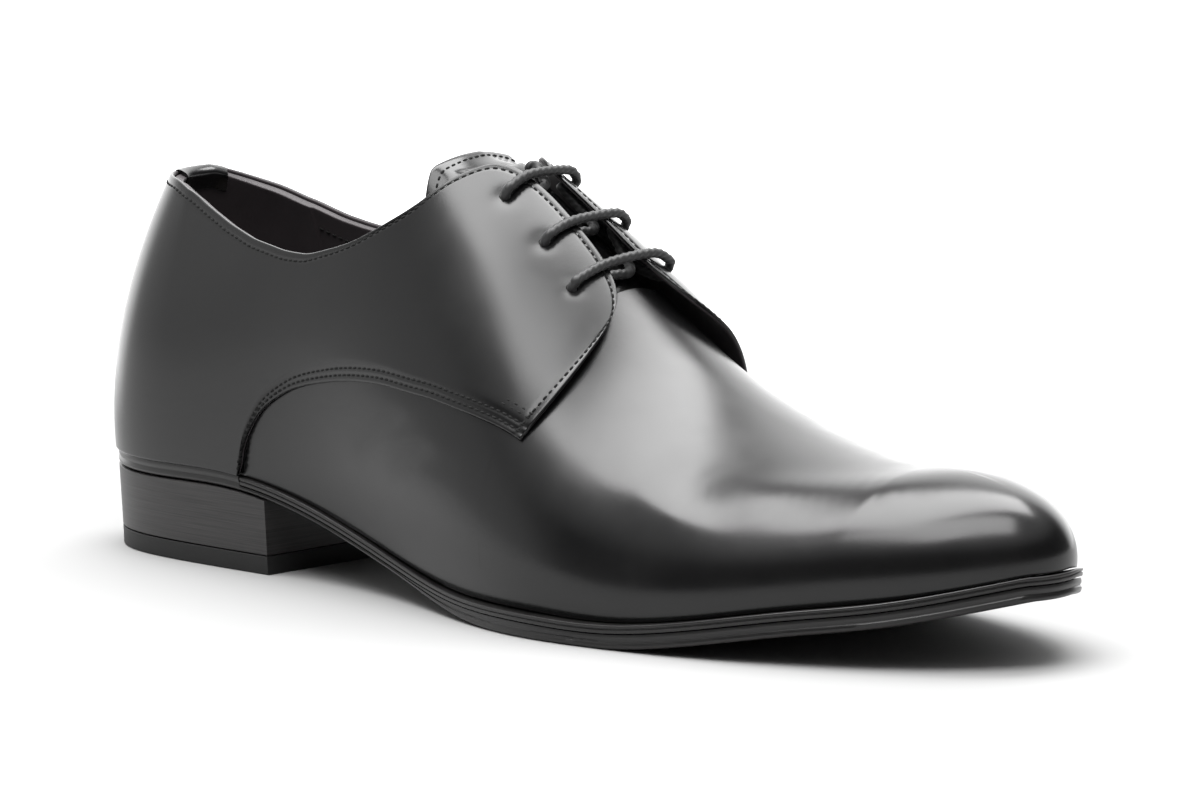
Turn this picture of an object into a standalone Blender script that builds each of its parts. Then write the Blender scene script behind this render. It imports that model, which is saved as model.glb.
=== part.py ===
"""Open-laced black leather dress shoe for the right foot.

The shape is that of a last: ribs climb from the feather edge, where the upper meets the sole, to the
ridge along the top of the foot.  Upper, quarters, tongue and insole are read off that one surface at
different offsets, and welt, outsole and heel follow its plan outline.

Sizes are millimetres until a mesh is made.  +X runs from heel to toe, +Y to the inner (medial) side,
+Z up.  The origin lies on the floor under the centre of the heel.
"""
from collections import namedtuple

import bmesh
import bpy
import numpy as np

MM = 0.001

# plan of the last, measured from the back of the feather edge
LAST_LENGTH = 300.0
HEEL_RADIUS = 29.5
TOE_RADIUS = 15.5
HEEL_POLE = 33.0
TOE_POLE = 262.0
LATERAL, MEDIAL = -1, 1
BULGE_GAIN = 1.6

# sections of the last: powers below 2 make a rib lean in, bulges push it out over the sole
Section = namedtuple(
    "Section",
    "x half_width centre feather ridge ridge_y plan_power rise_power bulge_lateral bulge_medial",
)
LAST_SECTIONS = (
    Section(0, 0.0, 0.0, 24.4, 127.5, 0.0, 0.72, 2.00, 2.3, 2.3),
    Section(30, 28.4, 0.0, 24.1, 127.5, 0.0, 0.77, 2.00, 2.5, 2.5),
    Section(60, 29.5, -0.3, 24.0, 127.5, 0.0, 1.02, 2.00, 3.2, 3.0),
    Section(90, 28.5, -2.0, 18.6, 123.5, 0.5, 1.50, 1.90, 5.6, 3.6),
    Section(120, 29.8, -4.6, 11.0, 108.0, 1.0, 1.90, 1.80, 8.0, 3.5),
    Section(150, 36.6, -5.4, 6.6, 86.5, 2.0, 2.00, 1.75, 7.4, 4.0),
    Section(180, 43.6, -3.9, 6.2, 62.0, 3.0, 2.00, 1.80, 5.0, 4.0),
    Section(205, 43.8, -2.2, 6.2, 49.4, 3.5, 2.00, 1.90, 3.2, 3.2),
    Section(230, 40.4, -1.0, 9.2, 43.0, 3.0, 2.00, 2.00, 2.4, 2.6),
    Section(255, 33.7, 0.4, 13.4, 40.9, 2.8, 2.00, 2.10, 2.0, 2.0),
    Section(275, 25.8, 1.5, 16.4, 42.0, 2.6, 2.00, 2.10, 1.6, 1.6),
    Section(300, 0.0, 2.6, 22.3, 38.0, 2.6, 2.00, 2.10, 1.2, 1.2),
)

# edges of a quarter, walked from the back seam to the front: its low edge leaves the sole at the heel
# breast and crosses the vamp, its high edge is the collar and then the facing beside the lacing
Edge = namedtuple("Edge", "low_station low_share high_station high_share")
QUARTER_EDGES = (
    Edge(0.0, 0.000, 0.0, 0.450),
    Edge(11.0, 0.000, 11.0, 0.450),
    Edge(22.0, 0.000, 22.0, 0.449),
    Edge(33.0, 0.000, 33.0, 0.434),
    Edge(44.0, 0.000, 44.0, 0.406),
    Edge(53.0, 0.000, 55.0, 0.383),
    Edge(59.0, 0.000, 65.0, 0.373),
    Edge(61.6, 0.000, 74.0, 0.376),
    Edge(64.0, 0.043, 84.0, 0.392),
    Edge(70.1, 0.104, 94.0, 0.433),
    Edge(80.9, 0.163, 102.4, 0.483),
    Edge(96.6, 0.224, 110.6, 0.557),
    Edge(112.9, 0.284, 117.0, 0.640),
    Edge(122.0, 0.315, 123.3, 0.784),
    Edge(131.7, 0.343, 128.0, 0.890),
    Edge(140.0, 0.368, 133.5, 0.930),
    Edge(148.8, 0.391, 143.0, 0.942),
    Edge(157.0, 0.413, 154.0, 0.938),
    Edge(164.0, 0.430, 162.0, 0.918),
    Edge(168.0, 0.436, 166.8, 0.880),
    Edge(170.5, 0.438, 169.7, 0.825),
)
FRONT_BOW, BOW_ROW = 3.3, 13
BACK_SEAM = 0.012
MEDIAL_COLLAR_DROP = 0.053
DROP_LEAN = 0.7
DROP_FROM, DROP_TO = 4.0, 96.0

# offsets of the leathers from the last, and the gap between neighbours
GAP = 0.3
UPPER_INNER, UPPER_OUTER = -0.4, 1.2
QUARTER_INNER, QUARTER_OUTER = 1.7, 2.9
TONGUE_INNER, TONGUE_OUTER = -2.9, -0.9
FLAP_LIFT = {LATERAL: 1.6, MEDIAL: 3.6}
FLAP_ROOT, FLAP_TIP = 118.0, 168.0
FLAP_RISE = (0.05, 0.75)

# opening in the upper under the flaps, covered from below by the tongue
NOTCH_HALF_WIDTH = 22.0
NOTCH_BACK, NOTCH_ROOT, NOTCH_FRONT = 106.0, 118.0, 167.0
NOTCH_POWER = 8
NOTCH_STEPS = (0.0, 0.7, 2.0, 4.5, 8.5)
TONGUE_TOP, TONGUE_FRONT = 113.5, 178.0
TONGUE_HALF_WIDTH = 24.5
TONGUE_CORNER = 11.0
TONGUE_DIP, TONGUE_ARC = 5.3, 5.5
TONGUE_SETTLED = 131.0
TONGUE_COVER = (0.02, 0.14)

# sole: the welt carries the upper from breast to breast, the outsole runs the whole length, and the
# heel narrows downwards by shares of its taper
WELT_THICK = 2.0
OUTSOLE_THICK, WAIST_THICK = 3.6, 1.3
WAIST_FROM, WAIST_TO = 118.0, 172.0
WELT_END = 62.0
WELT_INSET = 3.2
RIM_INSET = 3.6
SOLE_MARGIN_REAR, SOLE_MARGIN_FRONT = 2.2, 4.0
MARGIN_FROM, MARGIN_TO = 115.0, 185.0
WELT_STEP = 0.35
EDGE_ROUND = 0.9
BED_SLOPE = 0.4
HEEL_BREAST = 71.0
HEEL_TAPER = 0.8
STACK_FOOT, TREAD_TOP, TREAD_FOOT = 0.85, 1.0, 1.6
TREAD_ROUND = 0.5
TOP_PIECE_THICK = 4.6
INSOLE_THICK = 1.8
INSOLE_INSET = 1.0

# lacing: three blind eyelets a side and one round cord
EYELETS = ((134.4, 0.822), (148.2, 0.818), (159.4, 0.795))
EYELET_RADIUS = 2.0
LACE_RADIUS = 1.15
LACE_TURN = 2.25
LACE_CLEAR = 0.6
BAR_SHARES = ((LATERAL, 0.92), (MEDIAL, 0.97), (MEDIAL, 0.90))
TAIL_SHARE = 0.765

# how finely the surfaces are cut
HEEL_STEPS, SIDE_STEPS, TOE_STEPS = 6, 24, 8
UPPER_ROWS = 12
FIXED_ROWS, FIXED_SHARE, FIXED_PART = 6, 0.4, 0.7
QUARTER_ROWS = 7
SPLIT = 2


def natural_spline(xs, ys):
    """Smooth curve with continuous curvature through the points (xs, ys)."""
    xs = np.asarray(xs, float)
    ys = np.asarray(ys, float)
    count = len(xs)
    step = np.diff(xs)
    matrix = np.eye(count)
    right = np.zeros(count)
    for i in range(1, count - 1):
        matrix[i, i - 1:i + 2] = step[i - 1], 2 * (step[i - 1] + step[i]), step[i]
        right[i] = 6 * ((ys[i + 1] - ys[i]) / step[i] - (ys[i] - ys[i - 1]) / step[i - 1])
    bend = np.linalg.solve(matrix, right)

    def value(x):
        x = np.clip(np.asarray(x, float), xs[0], xs[-1])
        i = np.clip(np.searchsorted(xs, x) - 1, 0, count - 2)
        width = xs[i + 1] - xs[i]
        before = (xs[i + 1] - x) / width
        after = (x - xs[i]) / width
        curve = (before**3 - before) * bend[i] + (after**3 - after) * bend[i + 1]
        return before * ys[i] + after * ys[i + 1] + curve * width * width / 6

    return value


def smooth_step(value, low, high):
    """Ease from 0 at low to 1 at high."""
    part = np.clip((np.asarray(value, float) - low) / (high - low), 0, 1)
    return part * part * (3 - 2 * part)


class Last:
    """Foot form whose ribs are named by side, station along the shoe and share of the way up.

    Stations equal x between the poles; at heel and toe the ribs fan out round a pole.
    """

    def __init__(self, sections):
        xs = [s.x for s in sections]
        for name in Section._fields[2:]:
            setattr(self, name, natural_spline(xs, [getattr(s, name) for s in sections]))
        fullness = [s.half_width / max(self.round_ends(s.x), 1e-9) for s in sections]
        fullness[0] = np.sqrt(HEEL_RADIUS * LAST_LENGTH / 2)
        fullness[-1] = np.sqrt(TOE_RADIUS * LAST_LENGTH / 2)
        self.fullness = natural_spline(xs, fullness)

    @staticmethod
    def round_ends(x):
        """Factor that closes the plan with a round end at heel and toe."""
        x = np.clip(x, 0, LAST_LENGTH)
        return 2 * np.sqrt(x * (LAST_LENGTH - x)) / LAST_LENGTH

    def half_width(self, x):
        return self.fullness(x) * self.round_ends(x)

    def ridge_slope(self, x, step=0.5):
        x = np.clip(x, HEEL_POLE, TOE_POLE)
        return (self.ridge(x + step) - self.ridge(x - step)) / (2 * step)

    def ridge_height(self, x):
        """Ridge between the poles, carried on straight beyond them."""
        inside = np.clip(x, HEEL_POLE, TOE_POLE)
        return self.ridge(inside) + (x - inside) * self.ridge_slope(inside)

    def foot(self, side, station):
        """Feather point of each rib and the ridge point that it climbs to."""
        station = np.clip(np.asarray(station, float), 0, LAST_LENGTH)
        pole_x = np.clip(station, HEEL_POLE, TOE_POLE)
        pole_y = self.ridge_y(pole_x)
        heel, toe = station < HEEL_POLE, station > TOE_POLE
        heel_turn = station / HEEL_POLE
        toe_turn = (LAST_LENGTH - station) / (LAST_LENGTH - TOE_POLE)
        angle = np.pi / 2 * np.where(heel, heel_turn, np.where(toe, toe_turn, 1.0))
        along = np.cos(angle) * np.where(heel, -1.0, np.where(toe, 1.0, 0.0))
        across = side * np.sin(angle)
        near = np.zeros_like(station)
        far = np.full_like(station, LAST_LENGTH / 2)
        for _ in range(46):
            reach = (near + far) / 2
            x = pole_x + reach * along
            y = pole_y + reach * across
            inside = (x > 0) & (x < LAST_LENGTH) & (np.abs(y - self.centre(x)) < self.half_width(x))
            near = np.where(inside, reach, near)
            far = np.where(inside, far, reach)
        return pole_x + near * along, pole_y + near * across, pole_x, pole_y

    def rib(self, side, station, share):
        """Point on the last, share 0 at the feather edge and 1 on the ridge."""
        station, share = np.broadcast_arrays(np.asarray(station, float), np.asarray(share, float))
        foot_x, foot_y, top_x, top_y = self.foot(side, station)
        angle = np.pi / 2 * np.clip(share, 0, 1)
        inward = 1 - np.cos(angle) ** (2 / self.plan_power(foot_x))
        rise = np.sin(angle) ** (2 / self.rise_power(foot_x))
        bulge = self.bulge_lateral(foot_x) if side == LATERAL else self.bulge_medial(foot_x)
        push = BULGE_GAIN * bulge * np.sin(2 * angle) * (1 - share)
        inward = inward - push / np.hypot(top_x - foot_x, top_y - foot_y)
        x = foot_x + (top_x - foot_x) * inward
        y = foot_y + (top_y - foot_y) * inward
        feather = self.feather(foot_x)
        return np.stack([x, y, feather + (self.ridge_height(x) - feather) * rise], -1)

    def normal(self, side, station, share):
        """Outward unit normal, turned to the ridge's own where both sides meet."""
        station, share = np.broadcast_arrays(np.asarray(station, float), np.asarray(share, float))
        behind, ahead = np.clip(station - 0.2, 0, None), np.clip(station + 0.2, None, LAST_LENGTH)
        below, above = np.clip(share - 0.004, 0, 1), np.clip(share + 0.004, 0, 1)
        along = self.rib(side, ahead, share) - self.rib(side, behind, share)
        upward = self.rib(side, station, above) - self.rib(side, station, below)
        own = -side * np.cross(along, upward)
        own /= np.linalg.norm(own, axis=-1, keepdims=True) + 1e-12
        slope = self.ridge_slope(station)
        crest = np.stack([-slope, 0 * slope, 1 + 0 * slope], -1)
        crest /= np.linalg.norm(crest, axis=-1, keepdims=True)
        blend = smooth_step(share, 0.86, 1.0)[..., None]
        mixed = own * (1 - blend) + crest * blend
        return mixed / np.linalg.norm(mixed, axis=-1, keepdims=True)

    def skin(self, side, station, share, offset=0.0):
        """Point at a distance outside (or, below zero, inside) the last."""
        offset = np.asarray(offset, float)[..., None]
        return self.rib(side, station, share) + offset * self.normal(side, station, share)

    def share_at(self, side, station, distance):
        """Share of a rib at which it lies this far from the ridge, measured across the shoe."""
        shares = np.linspace(0.3, 1.0, 141)
        across = np.abs(self.rib(side, station, shares)[:, 1] - self.ridge_y(station))
        return float(np.interp(-distance, -across, shares))

    def plan(self, side, station, margin):
        """Feather outline pushed outwards by a margin, as x and y."""
        x, y, _, _ = self.foot(side, station)
        ahead = self.foot(side, station + 0.2)
        behind = self.foot(side, station - 0.2)
        tangent = np.stack([ahead[0] - behind[0], ahead[1] - behind[1]], -1)
        tangent /= np.linalg.norm(tangent, axis=-1, keepdims=True)
        return x - side * margin * tangent[:, 1], y + side * margin * tangent[:, 0]


LAST = Last(LAST_SECTIONS)


def material(name, colour, roughness):
    """Plain Principled material."""
    made = bpy.data.materials.new(name)
    made.use_nodes = True
    shader = made.node_tree.nodes["Principled BSDF"]
    shader.inputs["Base Color"].default_value = (*colour, 1.0)
    shader.inputs["Roughness"].default_value = roughness
    return made


def add_object(name, points, faces, finish, sharp=35.0):
    """Closed mesh object from points in millimetres, with coincident points welded."""
    points = np.asarray(points, float) - (HEEL_POLE, 0.0, 0.0)
    mesh = bpy.data.meshes.new(name)
    mesh.from_pydata((points * MM).tolist(), [], faces)
    work = bmesh.new()
    work.from_mesh(mesh)
    bmesh.ops.remove_doubles(work, verts=work.verts, dist=0.00002)
    bmesh.ops.dissolve_degenerate(work, edges=work.edges, dist=0.00001)
    bmesh.ops.recalc_face_normals(work, faces=work.faces)
    if work.calc_volume(signed=True) < 0:
        bmesh.ops.reverse_faces(work, faces=work.faces)
    work.to_mesh(mesh)
    work.free()
    mesh.materials.append(finish)
    mesh.shade_smooth()
    mesh.set_sharp_from_angle(angle=np.radians(sharp))
    made = bpy.data.objects.new(name, mesh)
    bpy.context.collection.objects.link(made)
    return made


def grid_faces(rows, columns, start=0, wrap=False):
    """Quads of a grid stored row by row; wrap joins the last row to the first."""
    faces = []
    for r in range(rows if wrap else rows - 1):
        here, there = start + r * columns, start + (r + 1) % rows * columns
        for c in range(columns - 1):
            faces.append((here + c, here + c + 1, there + c + 1, there + c))
    return faces


def add_sheet(name, outer, inner, finish):
    """Solid between two grids of the same size, closed along all four edges."""
    rows, columns = outer.shape[:2]
    count = rows * columns
    faces = grid_faces(rows, columns) + grid_faces(rows, columns, count)
    border = [r * columns for r in range(rows)]
    border += [(rows - 1) * columns + c for c in range(1, columns)]
    border += [r * columns + columns - 1 for r in range(rows - 2, -1, -1)]
    border += list(range(columns - 2, 0, -1))
    for here, there in zip(border, border[1:] + border[:1]):
        faces.append((here, there, there + count, here + count))
    points = np.concatenate([outer.reshape(-1, 3), inner.reshape(-1, 3)])
    return add_object(name, points, faces, finish)


def add_rings(name, rings, finish):
    """Solid from closed rings stacked bottom to top.

    A ring walks out along one side and back along the other, so each cap is a ladder of rungs.
    """
    size = len(rings[0])
    faces = []
    for level in range(len(rings) - 1):
        for i in range(size):
            j = (i + 1) % size
            low, high = level * size, (level + 1) * size
            faces.append((low + i, low + j, high + j, high + i))
    for start in (0, (len(rings) - 1) * size):
        for i in range(size // 2):
            rung = [start + i, start + i + 1, start + size - 2 - i, start + size - 1 - i]
            if len(set(rung)) > 2:
                faces.append(tuple(dict.fromkeys(rung)))
    return add_object(name, np.concatenate(rings), faces, finish)


def rib_stations():
    """Stations from the back of the heel to the tip of the toe."""
    heel = np.linspace(0, HEEL_POLE, HEEL_STEPS + 1)
    middle = np.linspace(HEEL_POLE, TOE_POLE, SIDE_STEPS + 1)
    toe = np.linspace(TOE_POLE, LAST_LENGTH, TOE_STEPS + 1)
    middle = middle[np.abs(middle - NOTCH_FRONT) > NOTCH_STEPS[-1] + 3]
    notch = NOTCH_FRONT - np.array(NOTCH_STEPS)
    return np.unique(np.concatenate([heel, middle, toe, notch]).round(3))


def collar_drop(side, station):
    """Share by which the inner side's collar dips below the outer side's."""
    if side == LATERAL:
        return 0.0 * station
    part = np.clip((station - DROP_FROM) / (DROP_TO - DROP_FROM), 0, 1)
    return MEDIAL_COLLAR_DROP * np.sin(np.pi * part**DROP_LEAN) ** 2


def quarter_edges(side, walk):
    """Low and high edge of a quarter at a distance walked through the table's rows."""
    rows = np.arange(len(QUARTER_EDGES))
    columns = np.array(QUARTER_EDGES).T
    low_station, low_share, high_station, high_share = (np.interp(walk, rows, c) for c in columns)
    return low_station, low_share, high_station, high_share - collar_drop(side, high_station)


def upper_top_share(side, station):
    """Where the upper ends: at the collar, then at the opening under the flaps, then on the ridge."""
    if station >= NOTCH_FRONT:
        return 1.0
    share = np.interp(station, [e.high_station for e in QUARTER_EDGES], [e.high_share for e in QUARTER_EDGES])
    share = float(share - collar_drop(side, station))
    if station <= NOTCH_BACK:
        return share
    reach = np.clip((station - NOTCH_ROOT) / (NOTCH_FRONT - NOTCH_ROOT), 0, 1)
    half_width = NOTCH_HALF_WIDTH * np.sqrt(1 - reach**NOTCH_POWER)
    return min(share, LAST.share_at(side, station, half_width))


def build_upper(finish):
    """One hollow shell: open underneath, at the collar and at the throat, closed along the ridge."""
    stations = rib_stations()
    loop = [(LATERAL, s) for s in stations] + [(MEDIAL, s) for s in stations[-2:0:-1]]
    skins = {UPPER_OUTER: [], UPPER_INNER: []}
    for side, station in loop:
        top = upper_top_share(side, station)
        fixed = min(FIXED_SHARE, FIXED_PART * top)
        shares = np.append(np.linspace(0, fixed, FIXED_ROWS, endpoint=False),
                           np.linspace(fixed, top, UPPER_ROWS - FIXED_ROWS + 1))
        for offset, rows in skins.items():
            rib = LAST.skin(side, np.full_like(shares, station), shares, np.full_like(shares, offset))
            rib[0, 2] = LAST.feather(rib[0, 0])
            rows.append(rib)
    ribs, rows = len(loop), UPPER_ROWS + 1
    count = ribs * rows
    faces = grid_faces(ribs, rows, 0, wrap=True) + grid_faces(ribs, rows, count, wrap=True)
    for i in range(ribs):
        j = (i + 1) % ribs
        faces.append((i * rows, j * rows, count + j * rows, count + i * rows))
        if min(loop[i][1], loop[j][1]) < NOTCH_FRONT:
            top_i, top_j = i * rows + UPPER_ROWS, j * rows + UPPER_ROWS
            faces.append((top_i, top_j, count + top_j, count + top_i))
    points = np.concatenate([np.concatenate(skins[UPPER_OUTER]), np.concatenate(skins[UPPER_INNER])])
    return add_object("upper", points, faces, finish)


def flap_lift(side, station, up):
    """Height by which a quarter's front stands off the vamp, growing towards the lacing."""
    return FLAP_LIFT[side] * smooth_step(station, FLAP_ROOT, FLAP_TIP) * smooth_step(up, *FLAP_RISE)


def quarter_point(side, walk, up, offset):
    """Point of a quarter from its place along (walk) and across (up) its cut shape."""
    low_station, low_share, high_station, high_share = quarter_edges(side, walk)
    bow = FRONT_BOW * 4 * up * (1 - up) * smooth_step(walk, BOW_ROW, len(QUARTER_EDGES) - 1)
    station = low_station + (high_station - low_station) * up + bow
    share = low_share + (high_share - low_share) * up
    return LAST.skin(side, station, share, offset + flap_lift(side, station, up))


def build_quarter(name, side, finish):
    """Overlay from the back seam to the lacing, with its eyelets punched."""
    walk = np.linspace(0, len(QUARTER_EDGES) - 1, SPLIT * (len(QUARTER_EDGES) - 1) + 1)
    walk[0] = BACK_SEAM
    up = np.linspace(0, 1, QUARTER_ROWS + 1)
    along, across = np.meshgrid(walk, up, indexing="ij")
    grids = []
    for offset in (QUARTER_OUTER, QUARTER_INNER):
        grid = quarter_point(side, along, across, offset)
        on_sole = across + quarter_edges(side, along)[1] == 0
        grid[..., 2] = np.where(on_sole, LAST.feather(grid[..., 0]), grid[..., 2])
        grids.append(grid)
    quarter = add_sheet(name, grids[0], grids[1], finish)
    punch = add_punch(name + "_punch", side, finish)
    cut = quarter.modifiers.new("eyelets", "BOOLEAN")
    cut.operation = "DIFFERENCE"
    cut.solver = "EXACT"
    cut.object = punch
    return quarter


def eyelet_frames(side):
    """Centre, outward normal and direction towards the ridge of each eyelet in a flap."""
    middle = (QUARTER_INNER + QUARTER_OUTER) / 2
    frames = []
    for station, share in EYELETS:
        lift = float(flap_lift(side, station, 1.0))
        centre = LAST.skin(side, station, share, middle + lift)
        nearer = LAST.skin(side, station, share + 0.05, middle + lift)
        normal = LAST.normal(side, station, share)
        inward = nearer - centre
        inward -= normal * inward.dot(normal)
        frames.append((centre, normal, inward / np.linalg.norm(inward)))
    return frames


def add_punch(name, side, finish, sides=10, reach=4.0):
    """Hidden cutter: a short prism through the flap at each eyelet."""
    points, faces = [], []
    turns = np.linspace(0, 2 * np.pi, sides, endpoint=False)
    for centre, normal, inward in eyelet_frames(side):
        third = np.cross(normal, inward)
        start = len(points)
        for depth in (-reach, reach):
            for turn in turns:
                ring = inward * np.cos(turn) + third * np.sin(turn)
                points.append(centre + normal * depth + ring * EYELET_RADIUS)
        faces += [(start + i, start + (i + 1) % sides, start + sides + (i + 1) % sides, start + sides + i)
                  for i in range(sides)]
        faces += [tuple(start + i for i in range(sides)), tuple(start + sides + i for i in range(sides))]
    punch = add_object(name, points, faces, finish)
    punch.hide_render = True
    punch.display_type = "WIRE"
    return punch


def tongue_settle(side, station, share, distance):
    """Height that brings the tongue's free top from the ridge's steep arch to its own low one."""
    cover = np.interp(station, [e.high_station for e in QUARTER_EDGES], [e.high_share for e in QUARTER_EDGES])
    free = smooth_step(share - cover, *TONGUE_COVER) * (1 - smooth_step(station, TONGUE_TOP, TONGUE_SETTLED))
    level = LAST.ridge_height(station) - TONGUE_DIP - TONGUE_ARC * (distance / TONGUE_HALF_WIDTH) ** 2
    return free * (level - LAST.rib(side, station, share)[2])


def build_tongue(finish, rows=13, columns=12):
    """Strip under the lacing that follows the ridge and ends in a rounded top."""
    grids = {TONGUE_OUTER: [], TONGUE_INNER: []}
    for along in np.linspace(0, 1, rows):
        station = TONGUE_TOP + (TONGUE_FRONT - TONGUE_TOP) * along**1.25
        corner = np.clip(1 - (station - TONGUE_TOP) / TONGUE_CORNER, 0, 1)
        half_width = TONGUE_HALF_WIDTH - TONGUE_CORNER * (1 - np.sqrt(1 - 0.98 * corner**2))
        for offset, grid in grids.items():
            line = []
            for across in np.linspace(-1, 1, columns + 1):
                side = LATERAL if across < 0 else MEDIAL
                distance = abs(across) * half_width
                share = LAST.share_at(side, station, distance)
                rise = tongue_settle(side, station, share, distance)
                line.append(LAST.skin(side, station, share, offset) + (0.0, 0.0, rise))
            grid.append(line)
    return add_sheet("tongue", np.array(grids[TONGUE_OUTER]), np.array(grids[TONGUE_INNER]), finish)


def sole_margin(x):
    """How far the sole shows outside the feather edge."""
    return SOLE_MARGIN_REAR + (SOLE_MARGIN_FRONT - SOLE_MARGIN_REAR) * smooth_step(x, MARGIN_FROM, MARGIN_TO)


def ring(stations, margin, height):
    """Closed ring round the sole: margin and height are functions of x."""
    halves = []
    for side in (LATERAL, MEDIAL):
        x, y = LAST.plan(side, stations, margin(LAST.foot(side, stations)[0]))
        halves.append(np.stack([x, y, height(x)], -1))
    return np.concatenate([halves[0], halves[1][::-1]])


def outsole_bottom(x):
    """Underside of the outsole: slim through seat and waist, flat under the ball, then toe spring."""
    thick = WAIST_THICK + (OUTSOLE_THICK - WAIST_THICK) * smooth_step(x, WAIST_FROM, WAIST_TO)
    return np.maximum(LAST.feather(x) - 2 * GAP - WELT_THICK - thick, 0.0)


def outsole_rim(x):
    """Top of the outsole's edge, a step lower where the welt lies on it."""
    return LAST.feather(x) - GAP - (WELT_THICK + GAP) * np.where(x > WELT_END, 1.0, 0.0)


def sole_stations():
    """Rib stations plus the ends of the welt and the heel breast."""
    stations = np.concatenate([rib_stations(), [WELT_END - 0.3, WELT_END + 0.3, HEEL_BREAST]])
    stations = np.unique(stations.round(3))
    keep = np.append(np.diff(stations) > 0.5, True) | (np.abs(stations - WELT_END) < 0.4)
    stations = stations[keep]
    stations[0], stations[-1] = 0.05, LAST_LENGTH - 0.05
    return stations


def build_outsole(finish):
    """Leather sole with a rim for the welt and a raised bed that fills the space inside it."""
    stations = sole_stations()

    def bed(x):
        return LAST.feather(x) - GAP

    rings = [
        ring(stations, lambda x: sole_margin(x) - 2 * EDGE_ROUND, outsole_bottom),
        ring(stations, sole_margin, lambda x: outsole_bottom(x) + EDGE_ROUND),
        ring(stations, sole_margin, outsole_rim),
        ring(stations, lambda x: 0 * x - RIM_INSET, outsole_rim),
        ring(stations, lambda x: 0 * x - RIM_INSET - BED_SLOPE, bed),
    ]
    return add_rings("outsole", rings, finish)


def build_welt(finish):
    """Strip sewn round the edge from one side of the heel breast to the other."""
    stations = sole_stations()
    stations = np.concatenate([[WELT_END + 0.6], stations[stations > WELT_END + 1.0]])
    corners = (
        (lambda x: sole_margin(x) + WELT_STEP, -GAP),
        (lambda x: sole_margin(x) + WELT_STEP, -GAP - WELT_THICK),
        (lambda x: 0 * x - WELT_INSET, -GAP - WELT_THICK),
        (lambda x: 0 * x - WELT_INSET, -GAP),
    )
    strips = [ring(stations, margin, lambda x, drop=drop: LAST.feather(x) + drop) for margin, drop in corners]
    section = np.stack(strips, axis=1)
    count = len(section)
    faces = []
    for i in range(count - 1):
        for k in range(4):
            m = (k + 1) % 4
            faces.append((i * 4 + k, i * 4 + m, (i + 1) * 4 + m, (i + 1) * 4 + k))
    faces += [(0, 1, 2, 3), tuple(4 * (count - 1) + k for k in range(4))]
    return add_object("welt", section.reshape(-1, 3), faces, finish)


def heel_stations():
    """Stations of the heel block, back to breast."""
    stations = sole_stations()
    stations = stations[(stations < HEEL_BREAST - 1) & (np.abs(stations - WELT_END) > 1)]
    return np.append(stations, HEEL_BREAST)


def build_heel(leather, rubber):
    """Stacked block under the heel seat and the rubber piece that meets the floor."""
    stations = heel_stations()

    def taper(part):
        return lambda x: sole_margin(x) - HEEL_TAPER * part

    joint = TOP_PIECE_THICK + GAP
    add_rings("heel_stack", [
        ring(stations, taper(STACK_FOOT), lambda x: 0 * x + joint),
        ring(stations, taper(0.0), lambda x: outsole_bottom(x) - GAP),
    ], leather)
    add_rings("heel_top_piece", [
        ring(stations, taper(TREAD_FOOT), lambda x: 0 * x),
        ring(stations, taper(TREAD_TOP), lambda x: 0 * x + TREAD_ROUND),
        ring(stations, taper(STACK_FOOT), lambda x: 0 * x + TOP_PIECE_THICK),
    ], rubber)


def build_insole(finish):
    """Thin bed for the foot, just inside the upper's lower edge."""
    stations = sole_stations()

    def inset(x):
        return 0 * x - INSOLE_INSET

    add_rings("insole", [
        ring(stations, inset, LAST.feather),
        ring(stations, inset, lambda x: LAST.feather(x) + INSOLE_THICK),
    ], finish)


def smooth_path(points, spacing=2.4):
    """Evenly spaced points along a Catmull-Rom curve through the given ones."""
    points = np.asarray(points, float)
    ends = np.vstack([2 * points[0] - points[1], points, 2 * points[-1] - points[-2]])
    fine = []
    for a, b, c, d in zip(ends, ends[1:], ends[2:], ends[3:]):
        for t in np.linspace(0, 1, 12, endpoint=False):
            fine.append(0.5 * (2 * b + (c - a) * t + (2 * a - 5 * b + 4 * c - d) * t**2
                               + (3 * b - a - 3 * c + d) * t**3))
    fine.append(points[-1])
    fine = np.array(fine)
    walked = np.append(0, np.cumsum(np.linalg.norm(np.diff(fine, axis=0), axis=1)))
    even = np.linspace(0, walked[-1], int(walked[-1] / spacing) + 1)
    return np.stack([np.interp(even, walked, fine[:, k]) for k in range(3)], -1)


def eyelet_turn(frame, angles):
    """Half turn of the cord through an eyelet, from above the flap (90) to below it (-90)."""
    centre, normal, inward = frame
    return [centre + inward * LACE_TURN + normal * LACE_TURN * np.sin(np.radians(a))
            - inward * LACE_TURN * np.cos(np.radians(a)) for a in angles]


def lace_route():
    """One cord: a bar over each pair of eyelets, joined by diagonals under the flaps."""
    down = (90, 45, 0, -45, -90)
    lateral, medial = eyelet_frames(LATERAL), eyelet_frames(MEDIAL)
    under = TONGUE_OUTER + LACE_RADIUS + LACE_CLEAR
    route = []
    for row, (station, _) in enumerate(EYELETS):
        route += eyelet_turn(lateral[row], down[::-1])
        for side, share in BAR_SHARES:
            lift = float(flap_lift(side, station, 1.0))
            route.append(LAST.skin(side, station, share, QUARTER_OUTER + lift + LACE_RADIUS + LACE_CLEAR))
        if row + 1 < len(EYELETS):
            route += eyelet_turn(medial[row], down)
            middle = (station + EYELETS[row + 1][0]) / 2
            route.append(LAST.skin(MEDIAL, middle, 1.0, under))
    centre, normal, _ = medial[-1]
    route += eyelet_turn(medial[-1], down[:3]) + [centre - normal * LACE_TURN]
    for station in np.linspace(EYELETS[-1][0] - 6, EYELETS[0][0] + 2, 4):
        route.append(LAST.skin(MEDIAL, station, TAIL_SHARE, under))
    return route


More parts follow.
